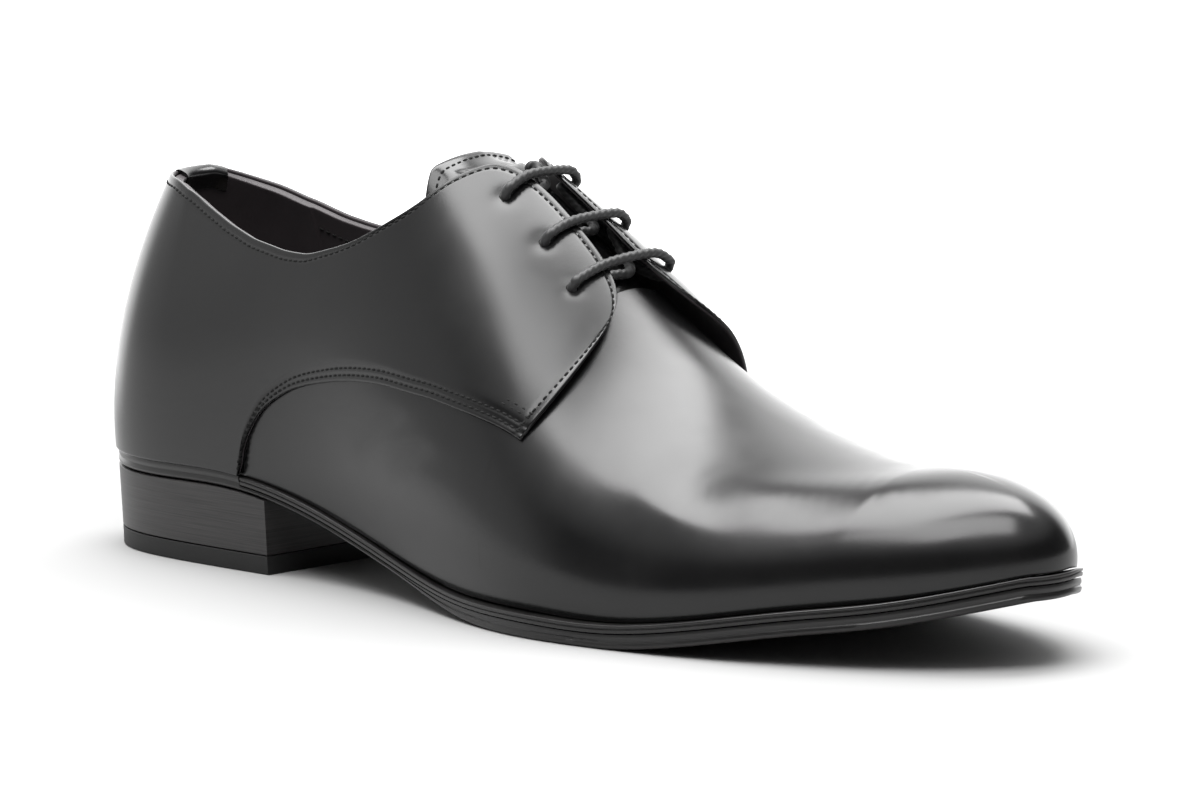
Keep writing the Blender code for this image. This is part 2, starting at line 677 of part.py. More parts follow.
def build_lace(finish, sides=8):
    """Round tube along the cord's route."""
    path = smooth_path(lace_route())
    tangent = np.gradient(path, axis=0)
    tangent /= np.linalg.norm(tangent, axis=1, keepdims=True)
    across = np.cross(tangent[0], (0.0, 0.0, 1.0))
    points, faces = [], []
    for centre, direction in zip(path, tangent):
        across = across - direction * across.dot(direction)
        across /= np.linalg.norm(across)
        third = np.cross(direction, across)
        for turn in np.linspace(0, 2 * np.pi, sides, endpoint=False):
            points.append(centre + LACE_RADIUS * (across * np.cos(turn) + third * np.sin(turn)))
    for i in range(len(path) - 1):
        for k in range(sides):
            m = (k + 1) % sides
            faces.append((i * sides + k, i * sides + m, (i + 1) * sides + m, (i + 1) * sides + k))
    last = (len(path) - 1) * sides
    faces += [tuple(range(sides)), tuple(last + k for k in range(sides))]
    return add_object("lace", points, faces, finish, sharp=60.0)


def main():
    for old in list(bpy.data.objects):
        bpy.data.objects.remove(old, do_unlink=True)
    calf = material("black_calf", (0.012, 0.012, 0.012), 0.22)
    lining = material("insole_leather", (0.05, 0.042, 0.036), 0.6)
    edge = material("burnished_sole_leather", (0.014, 0.013, 0.013), 0.35)
    stack = material("stacked_heel_leather", (0.02, 0.019, 0.018), 0.45)
    rubber = material("black_rubber", (0.016, 0.016, 0.016), 0.7)
    cord = material("waxed_cord", (0.01, 0.01, 0.01), 0.45)
    build_outsole(edge)
    build_welt(edge)
    build_heel(stack, rubber)
    build_insole(lining)
    build_upper(calf)
    build_tongue(calf)
    build_quarter("quarter_lateral", LATERAL, calf)
    build_quarter("quarter_medial", MEDIAL, calf)
    build_lace(cord)


main()
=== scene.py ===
"""Black leather dress shoe for the right foot: leathers, seams, lace and studio.

All surfaces are read off one last, the form that the shoe is built on.  A place on it is named by its side,
its station (millimetres from the back of the heel) and its share of the way from the feather edge (0) to the
ridge along the top of the foot (1).  Sizes are millimetres until a mesh is made; the origin lies on the floor
under the centre of the heel, +X runs to the toe, +Y to the inner side, +Z up.
"""
from __future__ import annotations

import logging
import math
from dataclasses import dataclass, field
from enum import Enum, IntEnum
from typing import Callable, NamedTuple, Sequence

import bmesh
import bpy
import numpy as np
from bpy.types import GeometryNodeTree, ID, Material, Mesh, Node, NodeSocket, NodeTree, Object
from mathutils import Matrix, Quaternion, Vector

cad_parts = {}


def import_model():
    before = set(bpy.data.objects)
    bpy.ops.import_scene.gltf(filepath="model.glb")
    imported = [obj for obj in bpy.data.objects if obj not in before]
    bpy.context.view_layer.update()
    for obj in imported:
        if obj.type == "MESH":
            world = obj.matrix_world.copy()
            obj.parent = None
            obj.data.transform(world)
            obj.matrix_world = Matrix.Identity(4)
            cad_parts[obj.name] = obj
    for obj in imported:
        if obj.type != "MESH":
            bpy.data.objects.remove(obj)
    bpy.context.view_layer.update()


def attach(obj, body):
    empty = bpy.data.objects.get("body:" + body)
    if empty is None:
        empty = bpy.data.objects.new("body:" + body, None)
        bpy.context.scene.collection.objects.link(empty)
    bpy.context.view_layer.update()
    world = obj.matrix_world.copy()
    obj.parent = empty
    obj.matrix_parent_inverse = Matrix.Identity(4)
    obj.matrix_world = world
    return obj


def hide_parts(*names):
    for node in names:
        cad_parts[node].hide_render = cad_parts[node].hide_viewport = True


LOG = logging.getLogger("shoe")
MM = 0.001
WELD, SLIVER = 0.000004, 0.000002  # metres within which points and edges are merged
TINY = 1e-6
MIX_FIRST, MIX_SECOND, MIX_RESULT = 6, 7, 2  # colour sockets of a mix node
CRISP_EDGE, SOFT_EDGE, ROUND_EDGE = 40.0, 60.0, 80.0  # degrees above which an edge stays crisp
Array = np.ndarray
Curve = Callable[[Array], Array]


class Side(IntEnum):
    """Which half of the shoe a rib belongs to; the value is its sign along Y."""

    LATERAL = -1
    MEDIAL = 1


class Slot(Enum):
    """Material slots of the part's record."""

    CALF = "calf"
    LINING = "lining"
    SOLE_EDGE = "sole_edge"
    HEEL = "heel_leather"
    RUBBER = "rubber"
    CORD = "cord"


class Section(NamedTuple):
    """One cross-section of the last."""

    x: float
    half_width: float
    centre: float
    feather: float
    ridge: float
    ridge_y: float
    plan_power: float
    rise_power: float
    bulge_lateral: float
    bulge_medial: float


class Edge(NamedTuple):
    """One row of a quarter's cut shape: a point of its low edge and one of its high edge."""

    low_station: float
    low_share: float
    high_station: float
    high_share: float


LAST_LENGTH = 300.0
HEEL_RADIUS = 29.5
TOE_RADIUS = 15.5
HEEL_POLE = 33.0
TOE_POLE = 262.0
BULGE_GAIN = 1.6
LAST_SECTIONS = (
    Section(0, 0.0, 0.0, 24.4, 127.5, 0.0, 0.72, 2.00, 2.3, 2.3),
    Section(30, 28.4, 0.0, 24.1, 127.5, 0.0, 0.77, 2.00, 2.5, 2.5),
    Section(60, 29.5, -0.3, 24.0, 127.5, 0.0, 1.02, 2.00, 3.2, 3.0),
    Section(90, 28.5, -2.0, 18.6, 123.5, 0.5, 1.50, 1.90, 5.6, 3.6),
    Section(120, 29.8, -4.6, 11.0, 108.0, 1.0, 1.90, 1.80, 8.0, 3.5),
    Section(150, 36.6, -5.4, 6.6, 86.5, 2.0, 2.00, 1.75, 7.4, 4.0),
    Section(180, 43.6, -3.9, 6.2, 62.0, 3.0, 2.00, 1.80, 5.0, 4.0),
    Section(205, 43.8, -2.2, 6.2, 49.4, 3.5, 2.00, 1.90, 3.2, 3.2),
    Section(230, 40.4, -1.0, 9.2, 43.0, 3.0, 2.00, 2.00, 2.4, 2.6),
    Section(255, 33.7, 0.4, 13.4, 40.9, 2.8, 2.00, 2.10, 2.0, 2.0),
    Section(275, 25.8, 1.5, 16.4, 42.0, 2.6, 2.00, 2.10, 1.6, 1.6),
    Section(300, 0.0, 2.6, 22.3, 38.0, 2.6, 2.00, 2.10, 1.2, 1.2),
)
QUARTER_EDGES = (
    Edge(0.0, 0.000, 0.0, 0.450),
    Edge(11.0, 0.000, 11.0, 0.450),
    Edge(22.0, 0.000, 22.0, 0.449),
    Edge(33.0, 0.000, 33.0, 0.434),
    Edge(44.0, 0.000, 44.0, 0.406),
    Edge(53.0, 0.000, 55.0, 0.383),
    Edge(59.0, 0.000, 65.0, 0.373),
    Edge(61.6, 0.000, 74.0, 0.376),
    Edge(64.0, 0.043, 84.0, 0.392),
    Edge(70.1, 0.104, 94.0, 0.433),
    Edge(80.9, 0.163, 102.4, 0.483),
    Edge(96.6, 0.224, 110.6, 0.557),
    Edge(112.9, 0.284, 117.0, 0.640),
    Edge(122.0, 0.315, 123.3, 0.784),
    Edge(131.7, 0.343, 128.0, 0.890),
    Edge(140.0, 0.368, 133.5, 0.930),
    Edge(148.8, 0.391, 143.0, 0.942),
    Edge(157.0, 0.413, 154.0, 0.938),
    Edge(164.0, 0.430, 162.0, 0.918),
    Edge(168.0, 0.436, 166.8, 0.880),
    Edge(170.5, 0.438, 169.7, 0.825),
)


def natural_spline(xs: Sequence[float], ys: Sequence[float]) -> Curve:
    """Smooth curve with continuous curvature.

    Args:
        xs: rising positions of the points.
        ys: their values.

    Returns:
        A function of position, held level beyond the ends.
    """
    xs = np.asarray(xs, float)
    ys = np.asarray(ys, float)
    count = len(xs)
    step = np.diff(xs)
    matrix = np.eye(count)
    right = np.zeros(count)
    for i in range(1, count - 1):
        matrix[i, i - 1:i + 2] = step[i - 1], 2 * (step[i - 1] + step[i]), step[i]
        right[i] = 6 * ((ys[i + 1] - ys[i]) / step[i] - (ys[i] - ys[i - 1]) / step[i - 1])
    bend = np.linalg.solve(matrix, right)

    def value(x: Array) -> Array:
        """Value of the curve at x."""
        x = np.clip(np.asarray(x, float), xs[0], xs[-1])
        i = np.clip(np.searchsorted(xs, x) - 1, 0, count - 2)
        width = xs[i + 1] - xs[i]
        before = (xs[i + 1] - x) / width
        after = (x - xs[i]) / width
        curve = (before**3 - before) * bend[i] + (after**3 - after) * bend[i + 1]
        return before * ys[i] + after * ys[i + 1] + curve * width * width / 6

    return value


def fair_curve(ys: Sequence[float]) -> Curve:
    """Curve through values at 0, 1, 2, ... that never swings past them.

    Args:
        ys: values at whole positions.

    Returns:
        A function of position.
    """
    ys = np.asarray(ys, float)
    step = np.diff(ys)
    slope = np.zeros(len(ys))
    slope[0], slope[-1] = step[0], step[-1]
    same_way = step[:-1] * step[1:] > 0
    slope[1:-1][same_way] = 2 * step[:-1][same_way] * step[1:][same_way] / (step[:-1] + step[1:])[same_way]

    def value(x: Array) -> Array:
        """Value of the curve at x."""
        x = np.clip(np.asarray(x, float), 0, len(ys) - 1)
        i = np.clip(x.astype(int), 0, len(ys) - 2)
        t = x - i
        return (ys[i] * (1 + 2 * t) * (1 - t) ** 2 + slope[i] * t * (1 - t) ** 2
                + ys[i + 1] * t * t * (3 - 2 * t) + slope[i + 1] * t * t * (t - 1))

    return value


def ease(value: Array, low: float, high: float) -> Array:
    """Ease from 0 at low to 1 at high."""
    part = np.clip((np.asarray(value, float) - low) / (high - low), 0, 1)
    return part * part * (3 - 2 * part)


def rounding(distance: Array, radius: float) -> Array:
    """Fall of a rounded edge at a distance from it."""
    return radius * (1 - np.sqrt(1 - np.clip(1 - distance / radius, 0, 1) ** 2))


def unit(vectors: Array) -> Array:
    """Vectors of length one."""
    return vectors / (np.linalg.norm(vectors, axis=-1, keepdims=True) + 1e-12)


def level(value: float) -> Curve:
    """Curve with one value everywhere."""
    return lambda x: 0 * x + value


def walked_along(line: Array) -> Array:
    """Distances walked along a line of points."""
    return np.append(0, np.cumsum(np.linalg.norm(np.diff(line, axis=0), axis=1)))


class Last:
    """Foot form whose ribs climb from the feather edge to the ridge; they fan out at heel and toe."""

    trace_count = 6001
    halvings = 46
    near_station, near_share = 0.2, 0.004
    crest_from = 0.86
    search_from, search_count = 0.3, 561
    share_move = 0.01
    plan_move = 0.3

    def __init__(self, sections: Sequence[Section]) -> None:
        """Fits the curves of the last.

        Args:
            sections: cross-sections from heel to toe.
        """
        xs = [s.x for s in sections]
        curves = {name: natural_spline(xs, [getattr(s, name) for s in sections]) for name in Section._fields[2:]}
        self.centre, self.feather, self.ridge = curves["centre"], curves["feather"], curves["ridge"]
        self.ridge_y, self.plan_power, self.rise_power = (
            curves["ridge_y"], curves["plan_power"], curves["rise_power"])
        self.bulge = {Side.LATERAL: curves["bulge_lateral"], Side.MEDIAL: curves["bulge_medial"]}
        fullness = [s.half_width / max(float(self.round_ends(s.x)), TINY) for s in sections]
        fullness[0] = math.sqrt(HEEL_RADIUS * LAST_LENGTH / 2)
        fullness[-1] = math.sqrt(TOE_RADIUS * LAST_LENGTH / 2)
        self.fullness = natural_spline(xs, fullness)
        self.steps = np.linspace(0, LAST_LENGTH, self.trace_count)
        self.feet = {side: self._trace(side, self.steps) for side in Side}

    @staticmethod
    def round_ends(x: Array) -> Array:
        """Factor that closes the plan with a round end at heel and toe."""
        x = np.clip(x, 0, LAST_LENGTH)
        return 2 * np.sqrt(x * (LAST_LENGTH - x)) / LAST_LENGTH

    def ridge_slope(self, x: Array, step: float = 0.5) -> Array:
        """Slope of the ridge, level with the poles beyond them."""
        x = np.clip(x, HEEL_POLE, TOE_POLE)
        return (self.ridge(x + step) - self.ridge(x - step)) / (2 * step)

    def ridge_height(self, x: Array) -> Array:
        """Ridge between the poles, carried on straight beyond them."""
        inside = np.clip(x, HEEL_POLE, TOE_POLE)
        return self.ridge(inside) + (x - inside) * self.ridge_slope(inside)

    def _trace(self, side: Side, station: Array) -> tuple[Array, Array]:
        """Feather points of ribs, found by walking out from their ridge points.

        Args:
            side: half of the shoe.
            station: stations of the ribs.

        Returns:
            The x and y of the feather edge.
        """
        pole_x = np.clip(station, HEEL_POLE, TOE_POLE)
        pole_y = self.ridge_y(pole_x)
        heel, toe = station < HEEL_POLE, station > TOE_POLE
        toe_turn = (LAST_LENGTH - station) / (LAST_LENGTH - TOE_POLE)
        angle = np.pi / 2 * np.where(heel, station / HEEL_POLE, np.where(toe, toe_turn, 1.0))
        along = np.cos(angle) * np.where(heel, -1.0, np.where(toe, 1.0, 0.0))
        across = int(side) * np.sin(angle)
        near, far = np.zeros_like(station), np.full_like(station, LAST_LENGTH / 2)
        for _ in range(self.halvings):
            reach = (near + far) / 2
            x, y = pole_x + reach * along, pole_y + reach * across
            width = self.fullness(x) * self.round_ends(x)
            inside = (x > 0) & (x < LAST_LENGTH) & (np.abs(y - self.centre(x)) < width)
            near, far = np.where(inside, reach, near), np.where(inside, far, reach)
        return pole_x + near * along, pole_y + near * across

    def foot(self, side: Side, station: Array) -> tuple[Array, Array]:
        """The x and y of the feather edge at given stations."""
        x, y = self.feet[side]
        return np.interp(station, self.steps, x), np.interp(station, self.steps, y)

    def rib(self, side: Side, station: Array, share: Array) -> Array:
        """Points on the last.

        Args:
            side: half of the shoe.
            station: stations, 0 at the back of the heel.
            share: shares of the way up, 0 at the feather edge.

        Returns:
            Points in millimetres, one row each.
        """
        station, share = np.broadcast_arrays(np.asarray(station, float), np.asarray(share, float))
        foot_x, foot_y = self.foot(side, station)
        top_x = np.clip(station, HEEL_POLE, TOE_POLE)
        top_y = self.ridge_y(top_x)
        angle = np.pi / 2 * np.clip(share, 0, 1)
        inward = 1 - np.cos(angle) ** (2 / self.plan_power(foot_x))
        rise = np.sin(angle) ** (2 / self.rise_power(foot_x))
        push = BULGE_GAIN * self.bulge[side](foot_x) * np.sin(2 * angle) * (1 - share)
        inward = inward - push / np.hypot(top_x - foot_x, top_y - foot_y)
        x = foot_x + (top_x - foot_x) * inward
        y = foot_y + (top_y - foot_y) * inward
        feather = self.feather(foot_x)
        return np.stack([x, y, feather + (self.ridge_height(x) - feather) * rise], -1)

    def normal(self, side: Side, station: Array, share: Array) -> Array:
        """Outward unit normals, turned to the ridge's own where both sides meet."""
        station, share = np.broadcast_arrays(np.asarray(station, float), np.asarray(share, float))
        behind, ahead = np.clip([station - self.near_station, station + self.near_station], 0, LAST_LENGTH)
        below, above = np.clip([share - self.near_share, share + self.near_share], 0, 1)
        along = self.rib(side, ahead, share) - self.rib(side, behind, share)
        upward = self.rib(side, station, above) - self.rib(side, station, below)
        own = unit(-int(side) * np.cross(along, upward))
        slope = self.ridge_slope(station)
        crest = unit(np.stack([-slope, 0 * slope, 1 + 0 * slope], -1))
        blend = ease(share, self.crest_from, 1.0)[..., None]
        return unit(own * (1 - blend) + crest * blend)

    def skin(self, side: Side, station: Array, share: Array, offset: Array | float = 0.0) -> Array:
        """Points at a distance outside the last, or inside it where the distance is below zero."""
        offset = np.asarray(offset, float)[..., None]
        return self.rib(side, station, share) + offset * self.normal(side, station, share)

    def share_at(self, side: Side, station: float, distance: Array | float) -> Array:
        """Share of a rib at which it lies this far from the ridge, measured across the shoe."""
        shares = np.linspace(self.search_from, 1.0, self.search_count)
        across = np.abs(self.rib(side, station, shares)[:, 1] - self.ridge_y(station))
        return np.interp(-np.asarray(distance, float), -across, shares)

    def share_step(self, side: Side, station: Array, share: Array) -> Array:
        """Share that one millimetre along a rib takes up."""
        low, high = self.rib(side, station, share - self.share_move), self.rib(side, station, share)
        return self.share_move / np.maximum(np.linalg.norm(high - low, axis=-1), TINY)

    def plan(self, side: Side, station: Array, margin: Array) -> tuple[Array, Array]:
        """Feather outline pushed outwards by a margin, as x and y."""
        x, y = self.foot(side, station)
        ahead, behind = self.foot(side, station + self.plan_move), self.foot(side, station - self.plan_move)
        tangent = unit(np.stack([ahead[0] - behind[0], ahead[1] - behind[1]], -1))
        return x - int(side) * margin * tangent[..., 1], y + int(side) * margin * tangent[..., 0]


@dataclass(frozen=True)
class Walls:
    """Offsets of the leathers from the last and the lift of the flaps beside the lacing."""

    lining_inner: float = -0.4
    lining_outer: float = 0.25
    upper_inner: float = 0.3
    upper_outer: float = 1.2
    quarter_inner: float = 1.7
    quarter_outer: float = 2.9
    tongue_inner: float = -2.9
    tongue_outer: float = -0.9
    lift_lateral: float = 1.6
    lift_medial: float = 3.6
    lift_root: float = 118.0
    lift_tip: float = 168.0
    lift_rise: tuple[float, float] = (0.05, 0.75)

    def lift(self, side: Side, station: Array, up: Array) -> Array:
        """Height by which a quarter's front stands off the vamp, growing towards the lacing."""
        most = self.lift_lateral if side is Side.LATERAL else self.lift_medial
        return most * ease(station, self.lift_root, self.lift_tip) * ease(up, *self.lift_rise)


class Seam(NamedTuple):
    """Line of stitches: points on the leather and the leather's outward directions there."""

    points: Array
    outward: Array


class QuarterPattern:
    """Cut shape of a quarter, read between its low and its high edge."""

    front_bow = 3.3
    bow_row = 13
    collar_count = 800
    medial_drop = 0.053
    drop_lean = 0.7
    drop_span = (4.0, 96.0)

    def __init__(self, last: Last, walls: Walls) -> None:
        """Fits the edges.

        Args:
            last: the form that the quarter lies on.
            walls: offsets of the leathers.
        """
        self.last, self.walls = last, walls
        self.end = float(len(QUARTER_EDGES) - 1)
        self.columns = [fair_curve(column) for column in np.array(QUARTER_EDGES).T]

    def drop(self, side: Side, station: Array) -> Array:
        """Share by which the inner side's collar dips below the outer side's."""
        if side is Side.LATERAL:
            return 0.0 * np.asarray(station, float)
        low, high = self.drop_span
        part = np.clip((station - low) / (high - low), 0, 1)
        return self.medial_drop * np.sin(np.pi * part**self.drop_lean) ** 2

    def edges(self, side: Side, walk: Array) -> tuple[Array, Array, Array, Array]:
        """Low and high edge at a distance walked through the table's rows."""
        low_station, low_share, high_station, high_share = (column(walk) for column in self.columns)
        return low_station, low_share, high_station, high_share - self.drop(side, high_station)

    def place(self, side: Side, walk: Array, up: Array) -> tuple[Array, Array]:
        """Station and share of a spot on the pattern."""
        low_station, low_share, high_station, high_share = self.edges(side, walk)
        bow = self.front_bow * 4 * up * (1 - up) * ease(walk, self.bow_row, self.end)
        return low_station + (high_station - low_station) * up + bow, low_share + (high_share - low_share) * up

    def point(self, side: Side, walk: Array, up: Array, offset: Array | float) -> Array:
        """Point of the quarter at an offset from the last."""
        station, share = self.place(side, walk, up)
        return self.last.skin(side, station, share, offset + self.walls.lift(side, station, up))

    def normal(self, side: Side, walk: Array, up: Array) -> Array:
        """Outward normal of the last under a spot on the pattern."""
        return self.last.normal(side, *self.place(side, walk, up))

    def collar_share(self, side: Side, station: Array) -> Array:
        """Share at which the collar, and then the facing, passes a station."""
        walk = np.linspace(0, self.end, self.collar_count)
        _, _, stations, shares = self.edges(side, walk)
        return np.interp(station, stations, shares)


def linear(code: str) -> tuple[float, float, float, float]:
    """Linear colour, with alpha, of an sRGB hex code."""
    parts = [int(code[i:i + 2], 16) / 255 for i in (1, 3, 5)]
    made = [p / 12.92 if p <= 0.04045 else ((p + 0.055) / 1.055) ** 2.4 for p in parts]
    return made[0], made[1], made[2], 1.0


def add_node(tree: NodeTree, kind: str, inputs: dict | None = None, **settings: object) -> Node:
    """Adds a node.

    Args:
        tree: tree that gets the node.
        kind: Blender's name of the node type.
        inputs: values and sources of its sockets, by socket name or index.
        settings: attributes of the node.

    Returns:
        The node.
    """
    node = tree.nodes.new(kind)
    for name, value in settings.items():
        setattr(node, name, value)
    for socket, source in (inputs or {}).items():
        if isinstance(source, NodeSocket):
            tree.links.new(source, node.inputs[socket])
        else:
            node.inputs[socket].default_value = source
    return node


def span(word: str, ends: Sequence) -> dict[str, object]:
    """Inputs of a map range node: both ends of its "From" or of its "To" range."""
    return {word + " Min": ends[0], word + " Max": ends[1]}


def add_object(name: str, data: ID) -> Object:
    """New object of the scene."""
    made = bpy.data.objects.new(name, data)
    bpy.context.collection.objects.link(made)
    return made


def start_material(name: str) -> tuple[Material, NodeTree, Node]:
    """New material with its tree and its Principled shader."""
    made = bpy.data.materials.new(name)
    made.use_nodes = True
    return made, made.node_tree, made.node_tree.nodes["Principled BSDF"]


@dataclass(frozen=True)
class Finish:
    """Finish of two tones that a pattern mixes, over a low relief."""

    name: str
    colour: str
    tint: str
    depth_mm: float

    def make(self) -> Material:
        """Material with the patterns of the finish."""
        made, tree, shader = start_material(self.name)
        self.paint(tree, shader, add_node(tree, "ShaderNodeTexCoord").outputs["Object"])
        return made

    def paint(self, tree: NodeTree, shader: Node, place: NodeSocket) -> None:
        """Lays the patterns on the shader; each finish has its own."""
        raise NotImplementedError

    def dress(self, tree: NodeTree, mix: NodeSocket, relief: NodeSocket, strength: float = 0.6) -> None:
        """Lays tones and relief on a material's shader.

        Args:
            tree: tree of the material.
            mix: pattern that mixes the two tones.
            relief: pattern that gives the heights of the relief.
            strength: strength of the bump.
        """
        shader = tree.nodes["Principled BSDF"]
        tone = add_node(tree, "ShaderNodeMix", {"Factor": mix, MIX_FIRST: linear(self.colour),
                                                MIX_SECOND: linear(self.tint)}, data_type="RGBA")
        bump = add_node(tree, "ShaderNodeBump", {"Height": relief, "Strength": strength,
                                                 "Distance": self.depth_mm * MM})
        tree.links.new(tone.outputs[MIX_RESULT], shader.inputs["Base Color"])
        tree.links.new(bump.outputs["Normal"], shader.inputs["Normal"])


@dataclass(frozen=True)
class PolishedCalf(Finish):
    """Black box calf, glazed and waxed: near-mirror gloss broken by faint pores and cloudy polish."""

    name: str = "polished_black_calf"
    colour: str = "#060607"
    tint: str = "#0c0c0c"
    depth_mm: float = 0.012
    roughness: tuple[float, float] = (0.19, 0.27)
    pore_mm: float = 0.45  # the pores of calf are finer, and are drawn coarser so that they show
    pore_strength: float = 0.35
    cloud_mm: float = 22.0
    cloud_range: tuple[float, float] = (0.3, 0.7)
    ior: float = 1.5

    def paint(self, tree: NodeTree, shader: Node, place: NodeSocket) -> None:
        """The cloud sets gloss and tone, the pores a very low bump."""
        cloud = add_node(tree, "ShaderNodeTexNoise", {"Vector": place, "Scale": 1 / (self.cloud_mm * MM),
                                                      "Detail": 3.0, "Roughness": 0.6}).outputs["Fac"]
        pores = add_node(tree, "ShaderNodeTexVoronoi", {"Vector": place, "Scale": 1 / (self.pore_mm * MM)})
        gloss = add_node(tree, "ShaderNodeMapRange", {"Value": cloud, **span("From", self.cloud_range),
                                                      **span("To", self.roughness)})
        tree.links.new(gloss.outputs["Result"], shader.inputs["Roughness"])
        self.dress(tree, cloud, pores.outputs["Distance"], self.pore_strength)
        shader.inputs["IOR"].default_value = self.ior


@dataclass(frozen=True)
class MottledGrain(Finish):
    """Dull finish with a soft mottle of two tones over a fine grain."""

    roughness: float
    grain_mm: float
    mottle_mm: float = 9.0
    sheen: float = 0.0

    def paint(self, tree: NodeTree, shader: Node, place: NodeSocket) -> None:
        """The mottle mixes the tones, the grain makes the bump."""
        mottle = add_node(tree, "ShaderNodeTexNoise", {"Vector": place, "Scale": 1 / (self.mottle_mm * MM),
                                                       "Detail": 5.0, "Roughness": 0.65})
        grain = add_node(tree, "ShaderNodeTexNoise", {"Vector": place, "Scale": 1 / (self.grain_mm * MM),
                                                      "Detail": 3.0})
        self.dress(tree, mottle.outputs["Fac"], grain.outputs["Fac"])
        shader.inputs["Roughness"].default_value = self.roughness
        shader.inputs["Sheen Weight"].default_value = self.sheen


@dataclass(frozen=True)
class LiningLeather(MottledGrain):
    """Unglazed violet-brown kid inside the shoe: uneven dye and a pebbled face that only catches dull light."""

    name: str = "violet_brown_lining_leather"
    colour: str = "#241f22"
    tint: str = "#3a3336"
    depth_mm: float = 0.05
    roughness: float = 0.55
    grain_mm: float = 0.8
    sheen: float = 0.1


@dataclass(frozen=True)
class SockLeather(MottledGrain):
    """Dark brown insole leather: a warm, flat tone at the bottom of the dark inside."""

    name: str = "dark_insole_leather"
    colour: str = "#2a2420"
    tint: str = "#372f2a"
    depth_mm: float = 0.05
    roughness: float = 0.6
    grain_mm: float = 0.9


@dataclass(frozen=True)
class HeelRubber(MottledGrain):
    """Moulded black rubber of the top piece: a matt band, darker and more even than the leather above it."""

    name: str = "black_heel_rubber"
    colour: str = "#0f0f0f"
    tint: str = "#151515"
    depth_mm: float = 0.02
    roughness: float = 0.62
    grain_mm: float = 0.5


@dataclass(frozen=True)
class WaxedThread(MottledGrain):
    """Black sewing thread: matt dashes, darker than the glossy leather around them."""

    name: str = "black_waxed_thread"
    colour: str = "#020202"
    tint: str = "#050505"
    depth_mm: float = 0.02
    roughness: float = 0.9
    grain_mm: float = 0.3  # fibres of cotton are finer, and are drawn coarser so that they show


@dataclass(frozen=True)
class WaxedCord(MottledGrain):
    """Twisted cotton lace: a dull charcoal that turns grey along the top of each bar."""

    name: str = "black_waxed_cord"
    colour: str = "#191919"
    tint: str = "#2b2b2c"
    depth_mm: float = 0.03
    roughness: float = 0.5
    grain_mm: float = 0.3  # drawn coarser than its fibres, as for the thread
    mottle_mm: float = 1.2
    sheen: float = 0.15


@dataclass(frozen=True)
class CutEdgeLeather(Finish):
    """Dyed leather worked on its cut edge: level fibre streaks under a dull burnish."""

    roughness: float
    streak_mm: float
    run_mm: float
    streak_range: tuple[float, float] = (0.35, 0.7)

    def paint(self, tree: NodeTree, shader: Node, place: NodeSocket) -> None:
        """The streaks run level and are stretched along the edge."""
        scale = tuple(1 / (size * MM) for size in (self.run_mm, self.run_mm, self.streak_mm))
        stretch = add_node(tree, "ShaderNodeMapping", {"Vector": place, "Scale": scale})
        fibres = add_node(tree, "ShaderNodeTexNoise", {"Vector": stretch.outputs["Vector"], "Scale": 1.0,
                                                       "Detail": 4.0, "Roughness": 0.6}).outputs["Fac"]
        streaks = add_node(tree, "ShaderNodeMapRange", {"Value": fibres, **span("From", self.streak_range)})
        self.dress(tree, streaks.outputs["Result"], fibres)
        shader.inputs["Roughness"].default_value = self.roughness


@dataclass(frozen=True)
class SoleEdge(CutEdgeLeather):
    """Burnished edge of welt and sole: near black, with a soft shine along its beads."""

    name: str = "burnished_black_sole_edge"
    colour: str = "#131212"
    tint: str = "#201f1f"
    depth_mm: float = 0.03
    roughness: float = 0.32
    streak_mm: float = 0.25
    run_mm: float = 30.0


@dataclass(frozen=True)
class HeelLifts(CutEdgeLeather):
    """Stacked lifts of the heel: a duller charcoal with pale level streaks."""

    name: str = "charcoal_stacked_lifts"
    colour: str = "#1c1b1b"
    tint: str = "#343232"
    depth_mm: float = 0.06
    roughness: float = 0.42
    streak_mm: float = 0.3
    run_mm: float = 26.0


def grid_faces(rows: int, columns: int, start: int = 0, wrap: bool = False) -> list[tuple[int, ...]]:
    """Quads of a grid stored row by row; wrap joins the last row to the first."""
    faces = []
    for r in range(rows if wrap else rows - 1):
        here, there = start + r * columns, start + (r + 1) % rows * columns
        faces += [(here + c, here + c + 1, there + c + 1, there + c) for c in range(columns - 1)]
    return faces


def ring_sides(count: int, size: int, start: int = 0) -> list[tuple[int, ...]]:
    """Quads between closed rings of one size that follow each other."""
    pairs = [(start + i * size, start + (i + 1) * size) for i in range(count - 1)]
    return [(low + k, low + (k + 1) % size, high + (k + 1) % size, high + k)
            for low, high in pairs for k in range(size)]


def tube_faces(count: int, size: int, start: int = 0) -> list[tuple[int, ...]]:
    """Faces of a tube of closed rings with a plain cap at each end."""
    ends = (start, start + (count - 1) * size)
    return ring_sides(count, size, start) + [tuple(range(end, end + size)) for end in ends]


